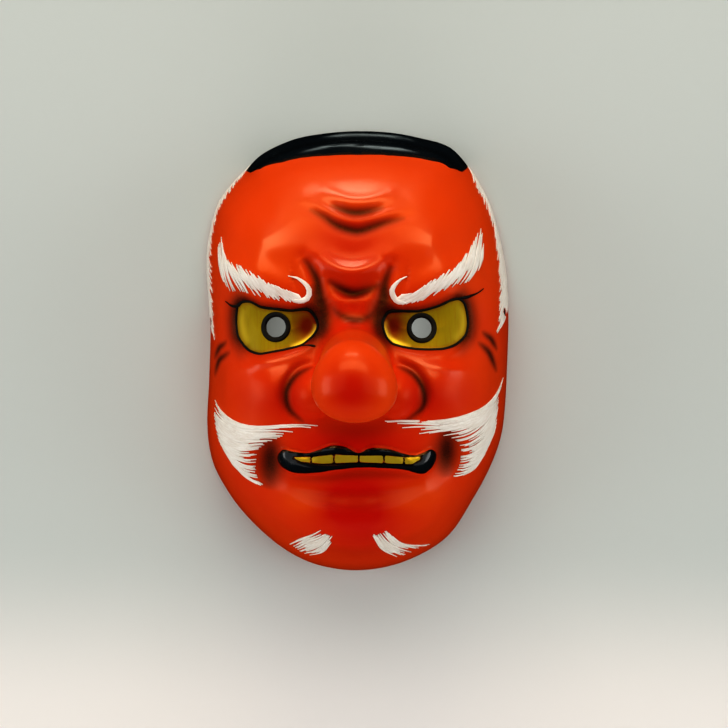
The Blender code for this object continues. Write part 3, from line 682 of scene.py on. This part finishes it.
def paint_fields(p):
    """How the paint lies at each point, painted shade, reflections and highlights among it, in mm: signed
    distances are negative inside the paint.
    """
    x, y, z = p.T
    low = 1.0 - smoothstep(*SHAFT_STARTS, z)

    eyes = [outside(x, y, smooth_loop(loop, 4)) for loop in EYES]
    gold_eye = np.minimum(*eyes)
    middle = np.where(eyes[0] < eyes[1], -40.0, 34.0)
    inward = np.where(eyes[0] < eyes[1], x - middle, middle - x) / 20.0
    line = 0.15 + 0.45 * smoothstep(4.0, 16.0, y) + 0.25 * smoothstep(0.3, 1.0, inward)
    ink = np.abs(gold_eye) - line
    ring, cord = hole_distance(p)
    ink = np.minimum(ink, np.abs(ring - RING_MIDDLE + 0.2) - 0.5 * RING_WIDTH + 0.1)
    teeth = teeth_edge(x, y)
    lips = outside(x, y, smooth_loop(LIPS, 4))
    ink = np.minimum(ink, np.maximum(lips, -teeth))
    gold = np.minimum(gold_eye, np.where(lips < 0.0, teeth, 9.0))

    hairline = np.interp(x, *np.array(HAIRLINE).T)
    band = np.where(y > 80.0, z - hairline, 20.0)

    # dark paint hugging the eye outlines: partly airbrushing, partly painted shade in the sockets
    side = np.clip(np.abs(inward), 0.0, 1.0)
    hug = np.clip(0.25 + 0.5 * smoothstep(-2.0, 14.0, y) + 0.5 * smoothstep(0.55, 1.0, side), 0.0, 1.0)
    hug_reach = 2.6 + 3.2 * smoothstep(0.6, 1.1, side)
    airbrush_and_shade = hug * np.exp(-((np.maximum(gold_eye, 0.0) / hug_reach) ** 2))
    for points, half, strength in AIRBRUSH_AND_SHADE:
        d, t = near(x, y, smooth_line(points, 20))
        swell = np.sqrt(np.sin(math.pi * np.clip(t, 0.0, 1.0)))
        airbrush_and_shade = airbrush_and_shade + (1.0 - airbrush_and_shade) * strength * swell * np.exp(-((d / (half * (0.3 + 0.7 * swell))) ** 2))
    # painted shade on the upper side of the nose shaft, just behind the bulb
    shaft_shade = 0.08 * (1.0 - low) * (1.0 - smoothstep(118.0, 140.0, z)) * smoothstep(-8.0, 2.0, y)
    airbrush_and_shade = np.clip(airbrush_and_shade, 0.0, 1.0) * low + shaft_shade

    # painted shade, and painted reflections on the chin, as deep red over the orange
    painted_shade_and_reflection = sum(strength * bump(x, y, *centre, *half) for centre, half, strength in SHADE_AND_REFLECTION_PATCHES)
    painted_shade_and_reflection = np.clip(painted_shade_and_reflection, 0.0, 1.0) * low
    # painted shade on the front of the nose bulb, deep red in its middle
    painted_shade_and_reflection = np.maximum(painted_shade_and_reflection, 0.9 * (1.0 - low) * (1.0 - smoothstep(2.0, 16.5, np.hypot(x + 1.2, y + 17.0))))

    polish = sum(strength * bump(x, y, *centre, *half, turn) for centre, half, turn, strength in POLISH)
    polish = (0.06 + polish) * low + (1.0 - smoothstep(42.0, 58.0, z)) + 0.3 * (1.0 - low)

    # the teeth painted paler all over, a painted highlight against the shade of the lips; then the rims of
    # the eyes
    painted_gold_highlight = 0.3 * (lips < 0.0)
    for points, half, strength in EYE_HIGHLIGHTS:
        d, t = near(x, y, smooth_line(points, 16))
        painted_gold_highlight += strength * np.sqrt(np.sin(math.pi * np.clip(t, 0.0, 1.0))) * np.exp(-((d / half) ** 2))

    # painted highlight: thin pale grey lines along the two ridges of the black hair band, standing for its
    # sheen
    upper = np.exp(-(((z - 36.5 - 0.8 * np.sin(x / 7.0)) / 0.8) ** 2))
    lower = 0.7 * np.exp(-(((z - 14.5) / 1.6) ** 2))
    painted_sheen = upper * smoothstep(-32.0, -16.0, x) * (1.0 - smoothstep(20.0, 34.0, x))
    painted_sheen += lower * smoothstep(-22.0, -8.0, x) * (1.0 - smoothstep(18.0, 34.0, x))

    # painted reflection of the red nose in the gold at the eyes' inner corners, and a darker band just inside
    # the eyes' outlines
    corner = 1.1 * bump(x, y, -24.5, 11.5, 6.5, 8) + 1.1 * bump(x, y, 18.5, 11.5, 6, 8)
    corner += 0.35 * bump(gold_eye, 0.0, -0.8, 0.0, 1.0, 1.0)
    return {
        "ink": ink, "gold": gold, "band": band, "airbrush_and_shade": airbrush_and_shade, "painted_shade_and_reflection": painted_shade_and_reflection,
        "corner": np.clip(corner, 0.0, 1.0), "painted_gold_highlight": np.clip(painted_gold_highlight, 0.0, 1.0),
        "wear": cord - 0.5 * CORD_HOLE, "painted_sheen": painted_sheen, "polish": np.clip(polish, 0.0, 1.0),
    }


def add_fields(mesh, fields):
    for name, values in fields.items():
        layer = mesh.attributes.new(name, "FLOAT", "POINT")
        layer.data.foreach_set("value", np.asarray(values, dtype=np.float32))


def mesh_points(mesh):
    p = np.empty(len(mesh.vertices) * 3)
    mesh.vertices.foreach_get("co", p)
    return p.reshape(-1, 3) / MM


def outer_tree(mesh):
    """The lacquered outside alone, for laying brush strokes on."""
    faces = [tuple(poly.vertices) for poly in mesh.polygons if poly.material_index in (0, 3)]
    return BVHTree.FromPolygons([vert.co for vert in mesh.vertices], faces)


def lay_front(tree, points):
    """Points given as x, y, set down on the face from above."""
    out = []
    for x, y in points:
        hit = tree.ray_cast(Vector((x * MM, y * MM, 0.3)), Vector((0, 0, -1)))[0]
        out.append(hit if hit else tree.find_nearest(Vector((x * MM, y * MM, 0.03)))[0])
    return np.array(out)


def lay_side(tree, points, side):
    """Points given as y and height, set against the side wall."""
    out = []
    for y, z in points:
        hit = tree.ray_cast(Vector((side * 0.3, y * MM, z * MM)), Vector((-side, 0, 0)))[0]
        if not hit or hit.x * side < 0.04:
            hit = tree.find_nearest(Vector((side * 0.085, y * MM, z * MM)))[0]
        out.append(hit)
    return np.array(out)


def stroke(bm, tree, line, width, tips, lift, seed, rows=12, slot=0):
    """One stroke of thick paint: a strip along the line, narrowed at both ends, hugging the surface."""
    uv = bm.loops.layers.uv.verify()
    path = smooth_line(line, rows + 1)
    run = np.concatenate([[0.0], np.cumsum(np.linalg.norm(np.diff(path, axis=0), axis=1))])
    grid = bmesh.ops.create_grid(bm, x_segments=rows, y_segments=STROKE_COLUMNS, size=1.0)["verts"]
    where = {vert: (vert.co.x, vert.co.y) for vert in grid}
    faces = {face for vert in grid for face in vert.link_faces}
    for face in faces:
        face.smooth = True
        face.material_index = slot
        for loop in face.loops:
            u, v = where[loop.vert]
            loop[uv].uv = (0.5 * (u + 1) * run[-1] / MM, 0.5 * v * width + seed * 3.7)
    for vert, (u, v) in where.items():
        t = 0.5 * (u + 1)
        i = round(t * rows)
        ahead = path[min(i + 1, rows)] - path[max(i - 1, 0)]
        spot, normal, _, _ = tree.find_nearest(Vector(path[i]))
        across = Vector(ahead).cross(normal).normalized()
        taper = min(1.0, t / tips[0]) * min(1.0, (1 - t) / tips[1])
        spot, normal, _, _ = tree.find_nearest(spot + across * (0.5 * v * width * max(taper, 0.04) * MM))
        height = lift * (1.0 - v * v) - 0.1 * v * v
        vert.co = spot + normal * (height * max(taper, 0.3) * MM)


def tuft(bm, tree, guides, clumps, core, tips, hairs, stray, rng):
    """A fan of guide lines filled with loaded brush marks, and single fine hairs over them."""
    fine = np.array([smooth_line(guide, 25) for guide in guides])

    def part(t, start, end):
        t = min(max(t, 0.0), 1.0) * (len(guides) - 1)
        k = min(int(t), len(guides) - 2)
        line = fine[k] + (t - k) * (fine[k + 1] - fine[k])
        pick = np.linspace(max(start, 0.0), min(end, 1.0), 9) * 24
        return np.array([np.interp(pick, range(25), line[:, c]) for c in range(3)]).T

    for i in range(clumps):
        start = stray[0] * rng.random() * (i % 2)
        line = part(i / (clumps - 1), start, 1.0 - stray[1] * rng.random() * (i % 2))
        stroke(bm, tree, line, core * rng.uniform(0.8, 1.2), tips, rng.uniform(0.13, 0.18), rng.uniform(0, 9))
    for i in range(hairs):
        line = part(rng.random(), stray[0] * rng.uniform(-0.2, 1.3), 1.0 - stray[1] * rng.uniform(-0.2, 1.3))
        stroke(bm, tree, line, rng.uniform(0.5, 1.1), (0.55, 0.55), rng.uniform(0.14, 0.2), rng.uniform(0, 9))


def hair_mesh(tree):
    """The white brush strokes, and in slot 1 the drawn ink lines round the eyes."""
    rng = random.Random(7)
    bm = bmesh.new()
    for guides, clumps, core, tips, hairs, stray in (
        (LEFT_BROW, 19, 2.7, (0.5, 0.45), 60, (0.38, 0.32)),
        (RIGHT_BROW, 20, 2.8, (0.5, 0.5), 60, (0.3, 0.35)),
        (LEFT_MOUSTACHE, 22, 2.4, (0.6, 0.3), 70, (0.3, 0.16)),
        (RIGHT_MOUSTACHE, 22, 2.4, (0.6, 0.3), 70, (0.3, 0.16)),
        (LEFT_CHIN, 9, 2.0, (0.65, 0.6), 18, (0.3, 0.2)),
        (RIGHT_CHIN, 9, 2.2, (0.65, 0.6), 18, (0.35, 0.15)),
    ):
        tuft(bm, tree, [lay_front(tree, guide) for guide in guides], clumps, core, tips, hairs, stray, rng)
    for hook in (LEFT_HOOK, RIGHT_HOOK):
        stroke(bm, tree, lay_front(tree, hook), 2.6, (0.5, 0.12), 0.2, 0)
    for guides, side in ((LEFT_SIDEBURN, -1), (RIGHT_SIDEBURN, 1)):
        laid = [lay_side(tree, guide, side) for guide in guides]
        tuft(bm, tree, laid, 30, 4.4, (0.15, 0.6), 50, (0.05, 0.3), rng)
    for points, half in LASHES:
        stroke(bm, tree, lay_front(tree, points), 2.0 * half, (0.8, 0.15), 0.07, 0, slot=1)
    turn = np.linspace(0.0, 2.2 * math.pi, 40)
    for x, y in EYE_HOLES:
        ring = np.array([x + RING_MIDDLE * np.cos(turn), y + RING_MIDDLE * np.sin(turn)]).T
        stroke(bm, tree, lay_front(tree, ring), RING_WIDTH, (0.03, 0.03), 0.04, 0, rows=110, slot=1)
    for loop in EYES:
        around = loop[-4:] + loop + loop[:2]
        stroke(bm, tree, lay_front(tree, around), 0.95, (0.04, 0.04), 0.07, 0, rows=120, slot=1)

    # bare lacquer round the cord holes, where the white has broken away
    gone = []
    for face in bm.faces:
        p = face.calc_center_median() / MM
        for x, y, z in CORD_HOLES:
            if p.x * x > 0.0 and math.hypot(p.y - y, 0.6 * (p.z - z)) < rng.uniform(2.4, 3.6):
                gone.append(face)
    bmesh.ops.delete(bm, geom=gone, context="FACES")
    return bm


def close_strokes(bm):
    """Give the strokes an underside, sunk into the lacquer, so each is a closed skin."""
    bmesh.ops.solidify(bm, geom=list(bm.faces), thickness=0.35 * MM)
    bmesh.ops.recalc_face_normals(bm, faces=list(bm.faces))
    return bm


# shader helpers

def new_material(name):
    material = bpy.data.materials.new(name)
    material.use_nodes = True
    return material, material.node_tree, material.node_tree.nodes["Principled BSDF"]


def node(tree, kind, **settings):
    made = tree.nodes.new(kind)
    for name, value in settings.items():
        setattr(made, name, value)
    return made


def feed(tree, socket, value):
    """Link a socket, or set it to a plain value."""
    if isinstance(value, bpy.types.NodeSocket):
        tree.links.new(value, socket)
    elif hasattr(value, "__len__") and len(value) == 3 and len(socket.default_value) == 4:
        socket.default_value = (*value, 1.0)
    else:
        socket.default_value = value


def feed_all(tree, made, values):
    for name, value in values.items():
        feed(tree, made.inputs[name], value)


def raise_surface(tree, shader, height, strength, distance):
    """Fine relief in the material, below what the mesh carries."""
    made = node(tree, "ShaderNodeBump")
    feed_all(tree, made, {"Height": height, "Strength": strength, "Distance": distance})
    feed(tree, shader.inputs["Normal"], made.outputs[0])


def math_node(tree, operation, a, b=0.0, c=0.0, clamp=False):
    made = node(tree, "ShaderNodeMath", operation=operation, use_clamp=clamp)
    for socket, value in zip(made.inputs, (a, b, c)):
        feed(tree, socket, value)
    return made.outputs[0]


def mix_colour(tree, factor, a, b):
    made = node(tree, "ShaderNodeMix", data_type="RGBA")
    feed(tree, made.inputs[0], factor)
    feed(tree, made.inputs[6], a)
    feed(tree, made.inputs[7], b)
    return made.outputs[2]


def ramp(tree, value, low, high, to_low=0.0, to_high=1.0):
    """A smooth step of the value from one limit to the other."""
    made = node(tree, "ShaderNodeMapRange", interpolation_type="SMOOTHSTEP")
    for socket, number in zip(made.inputs, (value, low, high, to_low, to_high)):
        feed(tree, socket, number)
    return made.outputs[0]


def noise(tree, vector, scale, detail=2.0, roughness=0.5):
    made = node(tree, "ShaderNodeTexNoise")
    feed_all(tree, made, {"Vector": vector, "Scale": scale, "Detail": detail, "Roughness": roughness})
    return made.outputs["Fac"]


def stretched(tree, vector, scale):
    made = node(tree, "ShaderNodeMapping")
    feed_all(tree, made, {"Vector": vector, "Scale": scale})
    return made.outputs[0]


def object_place(tree):
    return node(tree, "ShaderNodeTexCoord").outputs["Object"]


def field(tree, name):
    return node(tree, "ShaderNodeAttribute", attribute_name=name).outputs["Fac"]


def new_group(name, inputs, outputs):
    group = bpy.data.node_groups.new(name, "ShaderNodeTree")
    for label, kind in inputs:
        group.interface.new_socket(label, in_out="INPUT", socket_type=kind)
    for label, kind in outputs:
        group.interface.new_socket(label, in_out="OUTPUT", socket_type=kind)
    return group, node(group, "NodeGroupInput"), node(group, "NodeGroupOutput")


def brush_edge_group():
    """Paint put on by hand: full inside the signed distance, with a slightly unsteady edge."""
    group, start, end = new_group(
        "brush_edge",
        [("Distance", "NodeSocketFloat"), ("Wobble", "NodeSocketFloat"), ("Softness", "NodeSocketFloat"),
         ("Vector", "NodeSocketVector")],
        [("Mask", "NodeSocketFloat")],
    )
    shake = math_node(group, "SUBTRACT", noise(group, start.outputs["Vector"], 260.0, 3.0), 0.5)
    shake = math_node(group, "MULTIPLY", shake, start.outputs["Wobble"])
    edge = math_node(group, "ADD", start.outputs["Distance"], shake)
    steep = math_node(group, "DIVIDE", edge, start.outputs["Softness"])
    feed(group, end.inputs["Mask"], ramp(group, steep, 0.5, -0.5))
    return group


def lacquer_skin_group():
    """Hand-laid lacquer over paper: slow ripples, fine orange peel and a few dust nibs."""
    group, start, end = new_group(
        "lacquer_skin",
        [("Vector", "NodeSocketVector")],
        [("Height", "NodeSocketFloat"), ("Cloud", "NodeSocketFloat")],
    )
    vector = start.outputs["Vector"]
    ripple = noise(group, vector, 70.0, 2.0, 0.45)
    peel = noise(group, vector, 700.0, 2.0, 0.5)
    nibs = ramp(group, noise(group, vector, 950.0, 1.0), 0.74, 0.80)
    height = math_node(group, "MULTIPLY_ADD", peel, 0.07, ripple)
    height = math_node(group, "MULTIPLY_ADD", nibs, 0.12, height)
    feed(group, end.inputs["Height"], height)
    feed(group, end.inputs["Cloud"], noise(group, vector, 26.0, 4.0, 0.55))
    return group


def use_group(tree, group, **inputs):
    made = node(tree, "ShaderNodeGroup", node_tree=group)
    feed_all(tree, made, inputs)
    return made


# colours
ORANGE_RED = (0.66, 0.056, 0.0015)
DEEP_RED = (0.50, 0.004, 0.0006)
BROWN_AIRBRUSH_SHADE = (0.022, 0.003, 0.002)
GOLD = (0.285, 0.212, 0.006)
HIGHLIGHT_GOLD = (0.85, 0.62, 0.06)
GOLD_STREAK_AND_REFLECTION = (0.20, 0.020, 0.002)
INK = (0.0035, 0.004, 0.0045)
HAIR_BLACK = (0.004, 0.006, 0.008)
PAINTED_SHEEN_GREY = (0.24, 0.28, 0.29)
GROUND_WHITE = (0.62, 0.40, 0.33)
HAIR_WHITE = (0.78, 0.73, 0.66)
PAPER = (0.50, 0.44, 0.33)


def painted_lacquer(brush_edge, lacquer_skin):
    material, tree, shader = new_material("painted_lacquer")
    place = object_place(tree)
    skin_node = use_group(tree, lacquer_skin, Vector=place)
    cloud = skin_node.outputs["Cloud"]

    def paint(name, wobble, softness):
        edge = {"Distance": field(tree, name), "Wobble": wobble, "Softness": softness, "Vector": place}
        return use_group(tree, brush_edge, **edge).outputs["Mask"]

    ink = paint("ink", 0.5, 0.28)
    gold = paint("gold", 0.3, 0.25)
    band = paint("band", 0.5, 0.3)
    chip = paint("wear", 2.4, 0.5)

    # random unevenness of the red, plus the painted shade and reflection patches
    uneven = math_node(tree, "SUBTRACT", cloud, 0.5)
    deep = math_node(tree, "MULTIPLY_ADD", uneven, 0.5, field(tree, "painted_shade_and_reflection"), True)
    colour = mix_colour(tree, deep, ORANGE_RED, DEEP_RED)
    # brown airbrushing and painted shade laid over the red
    speckle = ramp(tree, noise(tree, place, 1500.0, 1.0), 0.3, 0.7, 0.95, 1.05)
    airbrush_and_shade = math_node(tree, "MULTIPLY", field(tree, "airbrush_and_shade"), speckle, clamp=True)
    colour = mix_colour(tree, math_node(tree, "MULTIPLY", airbrush_and_shade, 0.96), colour, BROWN_AIRBRUSH_SHADE)
    # gold, darkened by the painted nose reflection at the inner corners
    gilt = mix_colour(tree, field(tree, "corner"), GOLD, GOLD_STREAK_AND_REFLECTION)
    brushed = noise(tree, stretched(tree, place, (1.0, 0.12, 0.3)), 700.0, 3.0, 0.6)
    gilt = mix_colour(tree, ramp(tree, brushed, 0.4, 0.75, 0.0, 0.2), gilt, GOLD_STREAK_AND_REFLECTION)
    # painted highlights on the gold
    gilt = mix_colour(tree, field(tree, "painted_gold_highlight"), gilt, HIGHLIGHT_GOLD)
    colour = mix_colour(tree, gold, colour, gilt)
    colour = mix_colour(tree, ink, colour, INK)
    colour = mix_colour(tree, band, colour, HAIR_BLACK)
    colour = mix_colour(tree, chip, colour, GROUND_WHITE)

    leaf = math_node(tree, "SUBTRACT", gold, ink, clamp=True)
    rough = ramp(tree, cloud, 0.3, 0.7, 0.36, 0.46)
    rough = math_node(tree, "MULTIPLY_ADD", airbrush_and_shade, 0.22, rough)
    rough = math_node(tree, "MULTIPLY_ADD", ink, -0.18, rough)
    rough = math_node(tree, "MULTIPLY_ADD", chip, 0.45, rough)
    dulled = math_node(tree, "MAXIMUM", chip, airbrush_and_shade)
    shine = math_node(tree, "MULTIPLY", field(tree, "polish"), ramp(tree, dulled, 0.0, 1.0, 0.6, 0.05))
    feed_all(tree, shader, {
        "Base Color": colour, "Metallic": math_node(tree, "MULTIPLY", leaf, 0.35), "Roughness": rough,
        "Coat Weight": shine, "Coat Roughness": 0.17,
        "Specular Tint": (1.0, 0.45, 0.15), "Specular IOR Level": 0.35,
    })

    height = math_node(tree, "MULTIPLY_ADD", ink, 0.10, skin_node.outputs["Height"])
    height = math_node(tree, "MULTIPLY_ADD", gold, 0.08, height)
    height = math_node(tree, "MULTIPLY_ADD", chip, -0.5, height)
    raise_surface(tree, shader, height, 0.30, 0.0006)
    return material


def glossy_black():
    """The painted hair: thick glossy black, brushed from side to side, with painted highlight lines of grey
    along its ridges.
    """
    material, tree, shader = new_material("glossy_black")
    place = object_place(tree)
    brushed = noise(tree, stretched(tree, place, (0.12, 1.0, 1.0)), 420.0, 3.0, 0.55)
    cloud = noise(tree, place, 40.0, 3.0)
    # painted highlight lines, broken up by the brushing
    painted_sheen = math_node(tree, "MULTIPLY", field(tree, "painted_sheen"), ramp(tree, brushed, 0.35, 0.55))
    colour = mix_colour(tree, cloud, HAIR_BLACK, (0.008, 0.012, 0.015))
    feed_all(tree, shader, {
        "Base Color": mix_colour(tree, painted_sheen, colour, PAINTED_SHEEN_GREY),
        "Roughness": ramp(tree, cloud, 0.3, 0.7, 0.16, 0.30),
        "Coat Weight": 0.5, "Coat Roughness": 0.08, "Specular IOR Level": 0.3,
    })
    raise_surface(tree, shader, math_node(tree, "MULTIPLY_ADD", brushed, 0.3, cloud), 0.25, 0.0004)
    return material


def drawn_ink():
    """The thin lines round the eyes: black ink, drier than the hair band."""
    material, tree, shader = new_material("drawn_ink")
    place = object_place(tree)
    feed_all(tree, shader, {
        "Base Color": mix_colour(tree, noise(tree, place, 300.0), INK, (0.006, 0.004, 0.003)),
        "Roughness": ramp(tree, noise(tree, place, 90.0), 0.3, 0.7, 0.5, 0.65), "Specular IOR Level": 0.2,
    })
    return material


def paper_lining():
    """Bare inside: strips of handmade paper pasted across each other, red slopped over the edge."""
    material, tree, shader = new_material("paper_lining")
    place = object_place(tree)
    edges = node(tree, "ShaderNodeTexVoronoi", feature="DISTANCE_TO_EDGE")
    feed_all(tree, edges, {"Vector": stretched(tree, place, (1.0, 0.55, 0.8)), "Scale": 52.0})
    fibre = noise(tree, stretched(tree, place, (1.0, 0.25, 1.0)), 900.0, 3.0, 0.6)
    stain = noise(tree, place, 22.0, 4.0, 0.6)
    lap = ramp(tree, edges.outputs["Distance"], 0.0, 0.06)
    tone = mix_colour(tree, ramp(tree, stain, 0.35, 0.7), PAPER, (0.33, 0.25, 0.16))
    tone = mix_colour(tree, math_node(tree, "MULTIPLY", lap, 0.25), tone, (0.60, 0.55, 0.45))
    tone = mix_colour(tree, ramp(tree, fibre, 0.62, 0.72, 0.0, 0.35), tone, (0.24, 0.18, 0.12))
    height = node(tree, "ShaderNodeSeparateXYZ")
    feed(tree, height.inputs[0], place)
    slop = math_node(tree, "MULTIPLY_ADD", noise(tree, place, 60.0, 3.0), -0.012, height.outputs["Z"])
    slop = ramp(tree, slop, 0.0, -0.0008)
    feed(tree, shader.inputs["Base Color"], mix_colour(tree, slop, tone, (0.52, 0.03, 0.004)))
    feed(tree, shader.inputs["Roughness"], ramp(tree, slop, 0.0, 1.0, 0.85, 0.45))
    raise_surface(tree, shader, math_node(tree, "MULTIPLY_ADD", fibre, 0.25, lap), 0.5, 0.0006)
    return material


def cut_edge():
    """Walls of the punched holes: paper layers darkened with the ink that ran in."""
    material, tree, shader = new_material("cut_edge")
    place = object_place(tree)
    layers = noise(tree, stretched(tree, place, (0.3, 0.3, 4.0)), 900.0, 2.0)
    colour = mix_colour(tree, ramp(tree, layers, 0.35, 0.65), (0.012, 0.010, 0.010), (0.06, 0.045, 0.035))
    feed(tree, shader.inputs["Base Color"], colour)
    shader.inputs["Roughness"].default_value = 0.7
    return material


def brushed_white():
    """Thick white paint with the streaks of the bristles running along each stroke."""
    material, tree, shader = new_material("brushed_white")
    strokes = node(tree, "ShaderNodeUVMap", uv_map="strokes").outputs[0]
    streak = noise(tree, stretched(tree, strokes, (0.05, 2.2, 1.0)), 1.0, 3.0, 0.6)
    patch = noise(tree, stretched(tree, strokes, (0.12, 0.5, 1.0)), 1.0, 2.0)
    colour = mix_colour(tree, ramp(tree, patch, 0.3, 0.7), HAIR_WHITE, (0.68, 0.60, 0.52))
    thin = ramp(tree, streak, 0.62, 0.72, 0.0, 0.3)
    colour = mix_colour(tree, thin, colour, (0.55, 0.10, 0.04))
    feed_all(tree, shader, {
        "Base Color": colour, "Roughness": ramp(tree, streak, 0.3, 0.7, 0.38, 0.55),
        "Coat Weight": 0.25, "Coat Roughness": 0.2,
    })
    raise_surface(tree, shader, streak, 0.35, 0.0003)
    return material


def pale_floor():
    material, tree, shader = new_material("pale_floor")
    place = object_place(tree)
    across = node(tree, "ShaderNodeSeparateXYZ")
    feed(tree, across.inputs[0], place)
    # painted light: the floor is paler toward -Y, lighter where more light would fall in front of the mask
    reach = math_node(tree, "MULTIPLY_ADD", noise(tree, place, 3.0, 3.0), 0.03, across.outputs["Y"])
    tone = ramp(tree, reach, -0.09, -0.20)
    feed(tree, shader.inputs["Base Color"], mix_colour(tree, tone, (0.49, 0.515, 0.495), (0.75, 0.71, 0.675)))
    shader.inputs["Roughness"].default_value = 0.75
    bm = bmesh.new()
    bmesh.ops.create_grid(bm, x_segments=1, y_segments=1, size=2.2)
    floor = add_object("floor", bm, [material])
    floor.visible_glossy = False


def add_light(name, place, aim, size, power, glossy=True, diffuse=True, colour=(1.0, 1.0, 1.0)):
    data = bpy.data.lights.new(name, "AREA")
    data.shape = "RECTANGLE"
    data.size, data.size_y = size
    data.energy = power
    data.color = colour
    lamp = bpy.data.objects.new(name, data)
    lamp.location = place
    lamp.rotation_euler = (Vector(aim) - Vector(place)).to_track_quat("-Z", "Y").to_euler()
    lamp.visible_glossy = glossy
    lamp.visible_diffuse = diffuse
    bpy.context.scene.collection.objects.link(lamp)


def studio():
    """Soft daylight from past the hair band, a wide pale sky for the lacquer to mirror, and even fill."""
    world = bpy.data.worlds.new("studio")
    world.use_nodes = True
    world.node_tree.nodes["Background"].inputs[0].default_value = (0.95, 1.0, 0.97, 1.0)
    world.node_tree.nodes["Background"].inputs[1].default_value = 0.18
    world.cycles_visibility.glossy = False
    bpy.context.scene.world = world
    middle = (0.0, 0.0, 0.05)
    low = (0.0, 0.0, 0.03)
    day = (1.0, 0.86, 0.62)
    sky = (1.0, 0.8, 0.42)
    add_light("ceiling", (0.0, 2.3, 1.3), middle, (3.2, 1.8), 33.5, glossy=False)
    add_light("window", (-0.1, 2.3, 0.67), middle, (1.35, 0.45), 15.0, colour=day)
    add_light("skylight", (0.0, 1.3, 1.5), middle, (2.8, 0.85), 36.0, diffuse=False, colour=sky)
    add_light("left_wall", (-1.1, -0.1, 0.95), middle, (1.2, 1.8), 4.0)
    add_light("right_wall", (1.1, -0.1, 0.95), middle, (1.2, 1.8), 4.0)
    add_light("left_fill", (-2.8, -0.2, 1.0), low, (2.0, 1.4), 22.0)
    add_light("right_fill", (2.8, -0.2, 1.0), low, (2.0, 1.4), 19.0)
    add_light("foot_fill", (0.0, -2.2, 0.7), low, (2.6, 0.9), 19.0, glossy=False)
    add_light("inside", (0.0, 0.01, 0.045), (0.0, 0.01, 0.0), (0.06, 0.06), 0.022)


def camera():
    data = bpy.data.cameras.new("camera")
    data.sensor_fit = "HORIZONTAL"
    data.sensor_width = 36.0
    data.lens = 36.0 * 820.0 / 728.0
    data.clip_start = 0.01
    data.clip_end = 20.0
    obj = bpy.data.objects.new("camera", data)
    obj.location = (0.0037, -0.0074, 0.470)
    bpy.context.scene.collection.objects.link(obj)
    bpy.context.scene.camera = obj


def mask():
    materials = [
        painted_lacquer(brush_edge_group(), lacquer_skin_group()), paper_lining(), cut_edge(), glossy_black(),
    ]
    shell = cut_shell(materials)
    fields = paint_fields(mesh_points(shell.data))
    add_fields(shell.data, fields)
    black = np.minimum(fields["band"] - BAND_MARGIN, fields["ink"] - LIP_MARGIN)
    for poly in shell.data.polygons:
        if poly.material_index == 0 and max(black[i] for i in poly.vertices) < 0.0:
            poly.material_index = 3
    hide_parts("mask")
    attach(shell, "root")

    bm = close_strokes(hair_mesh(outer_tree(shell.data)))
    hair = add_object("brushed_hair", bm, [brushed_white(), drawn_ink()])
    hair.data.uv_layers[0].name = "strokes"
    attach(hair, "root")


camera()
mask()
pale_floor()
studio()
bpy.context.scene.view_settings.view_transform = "Standard"
bpy.context.scene.view_settings.look = "High Contrast"
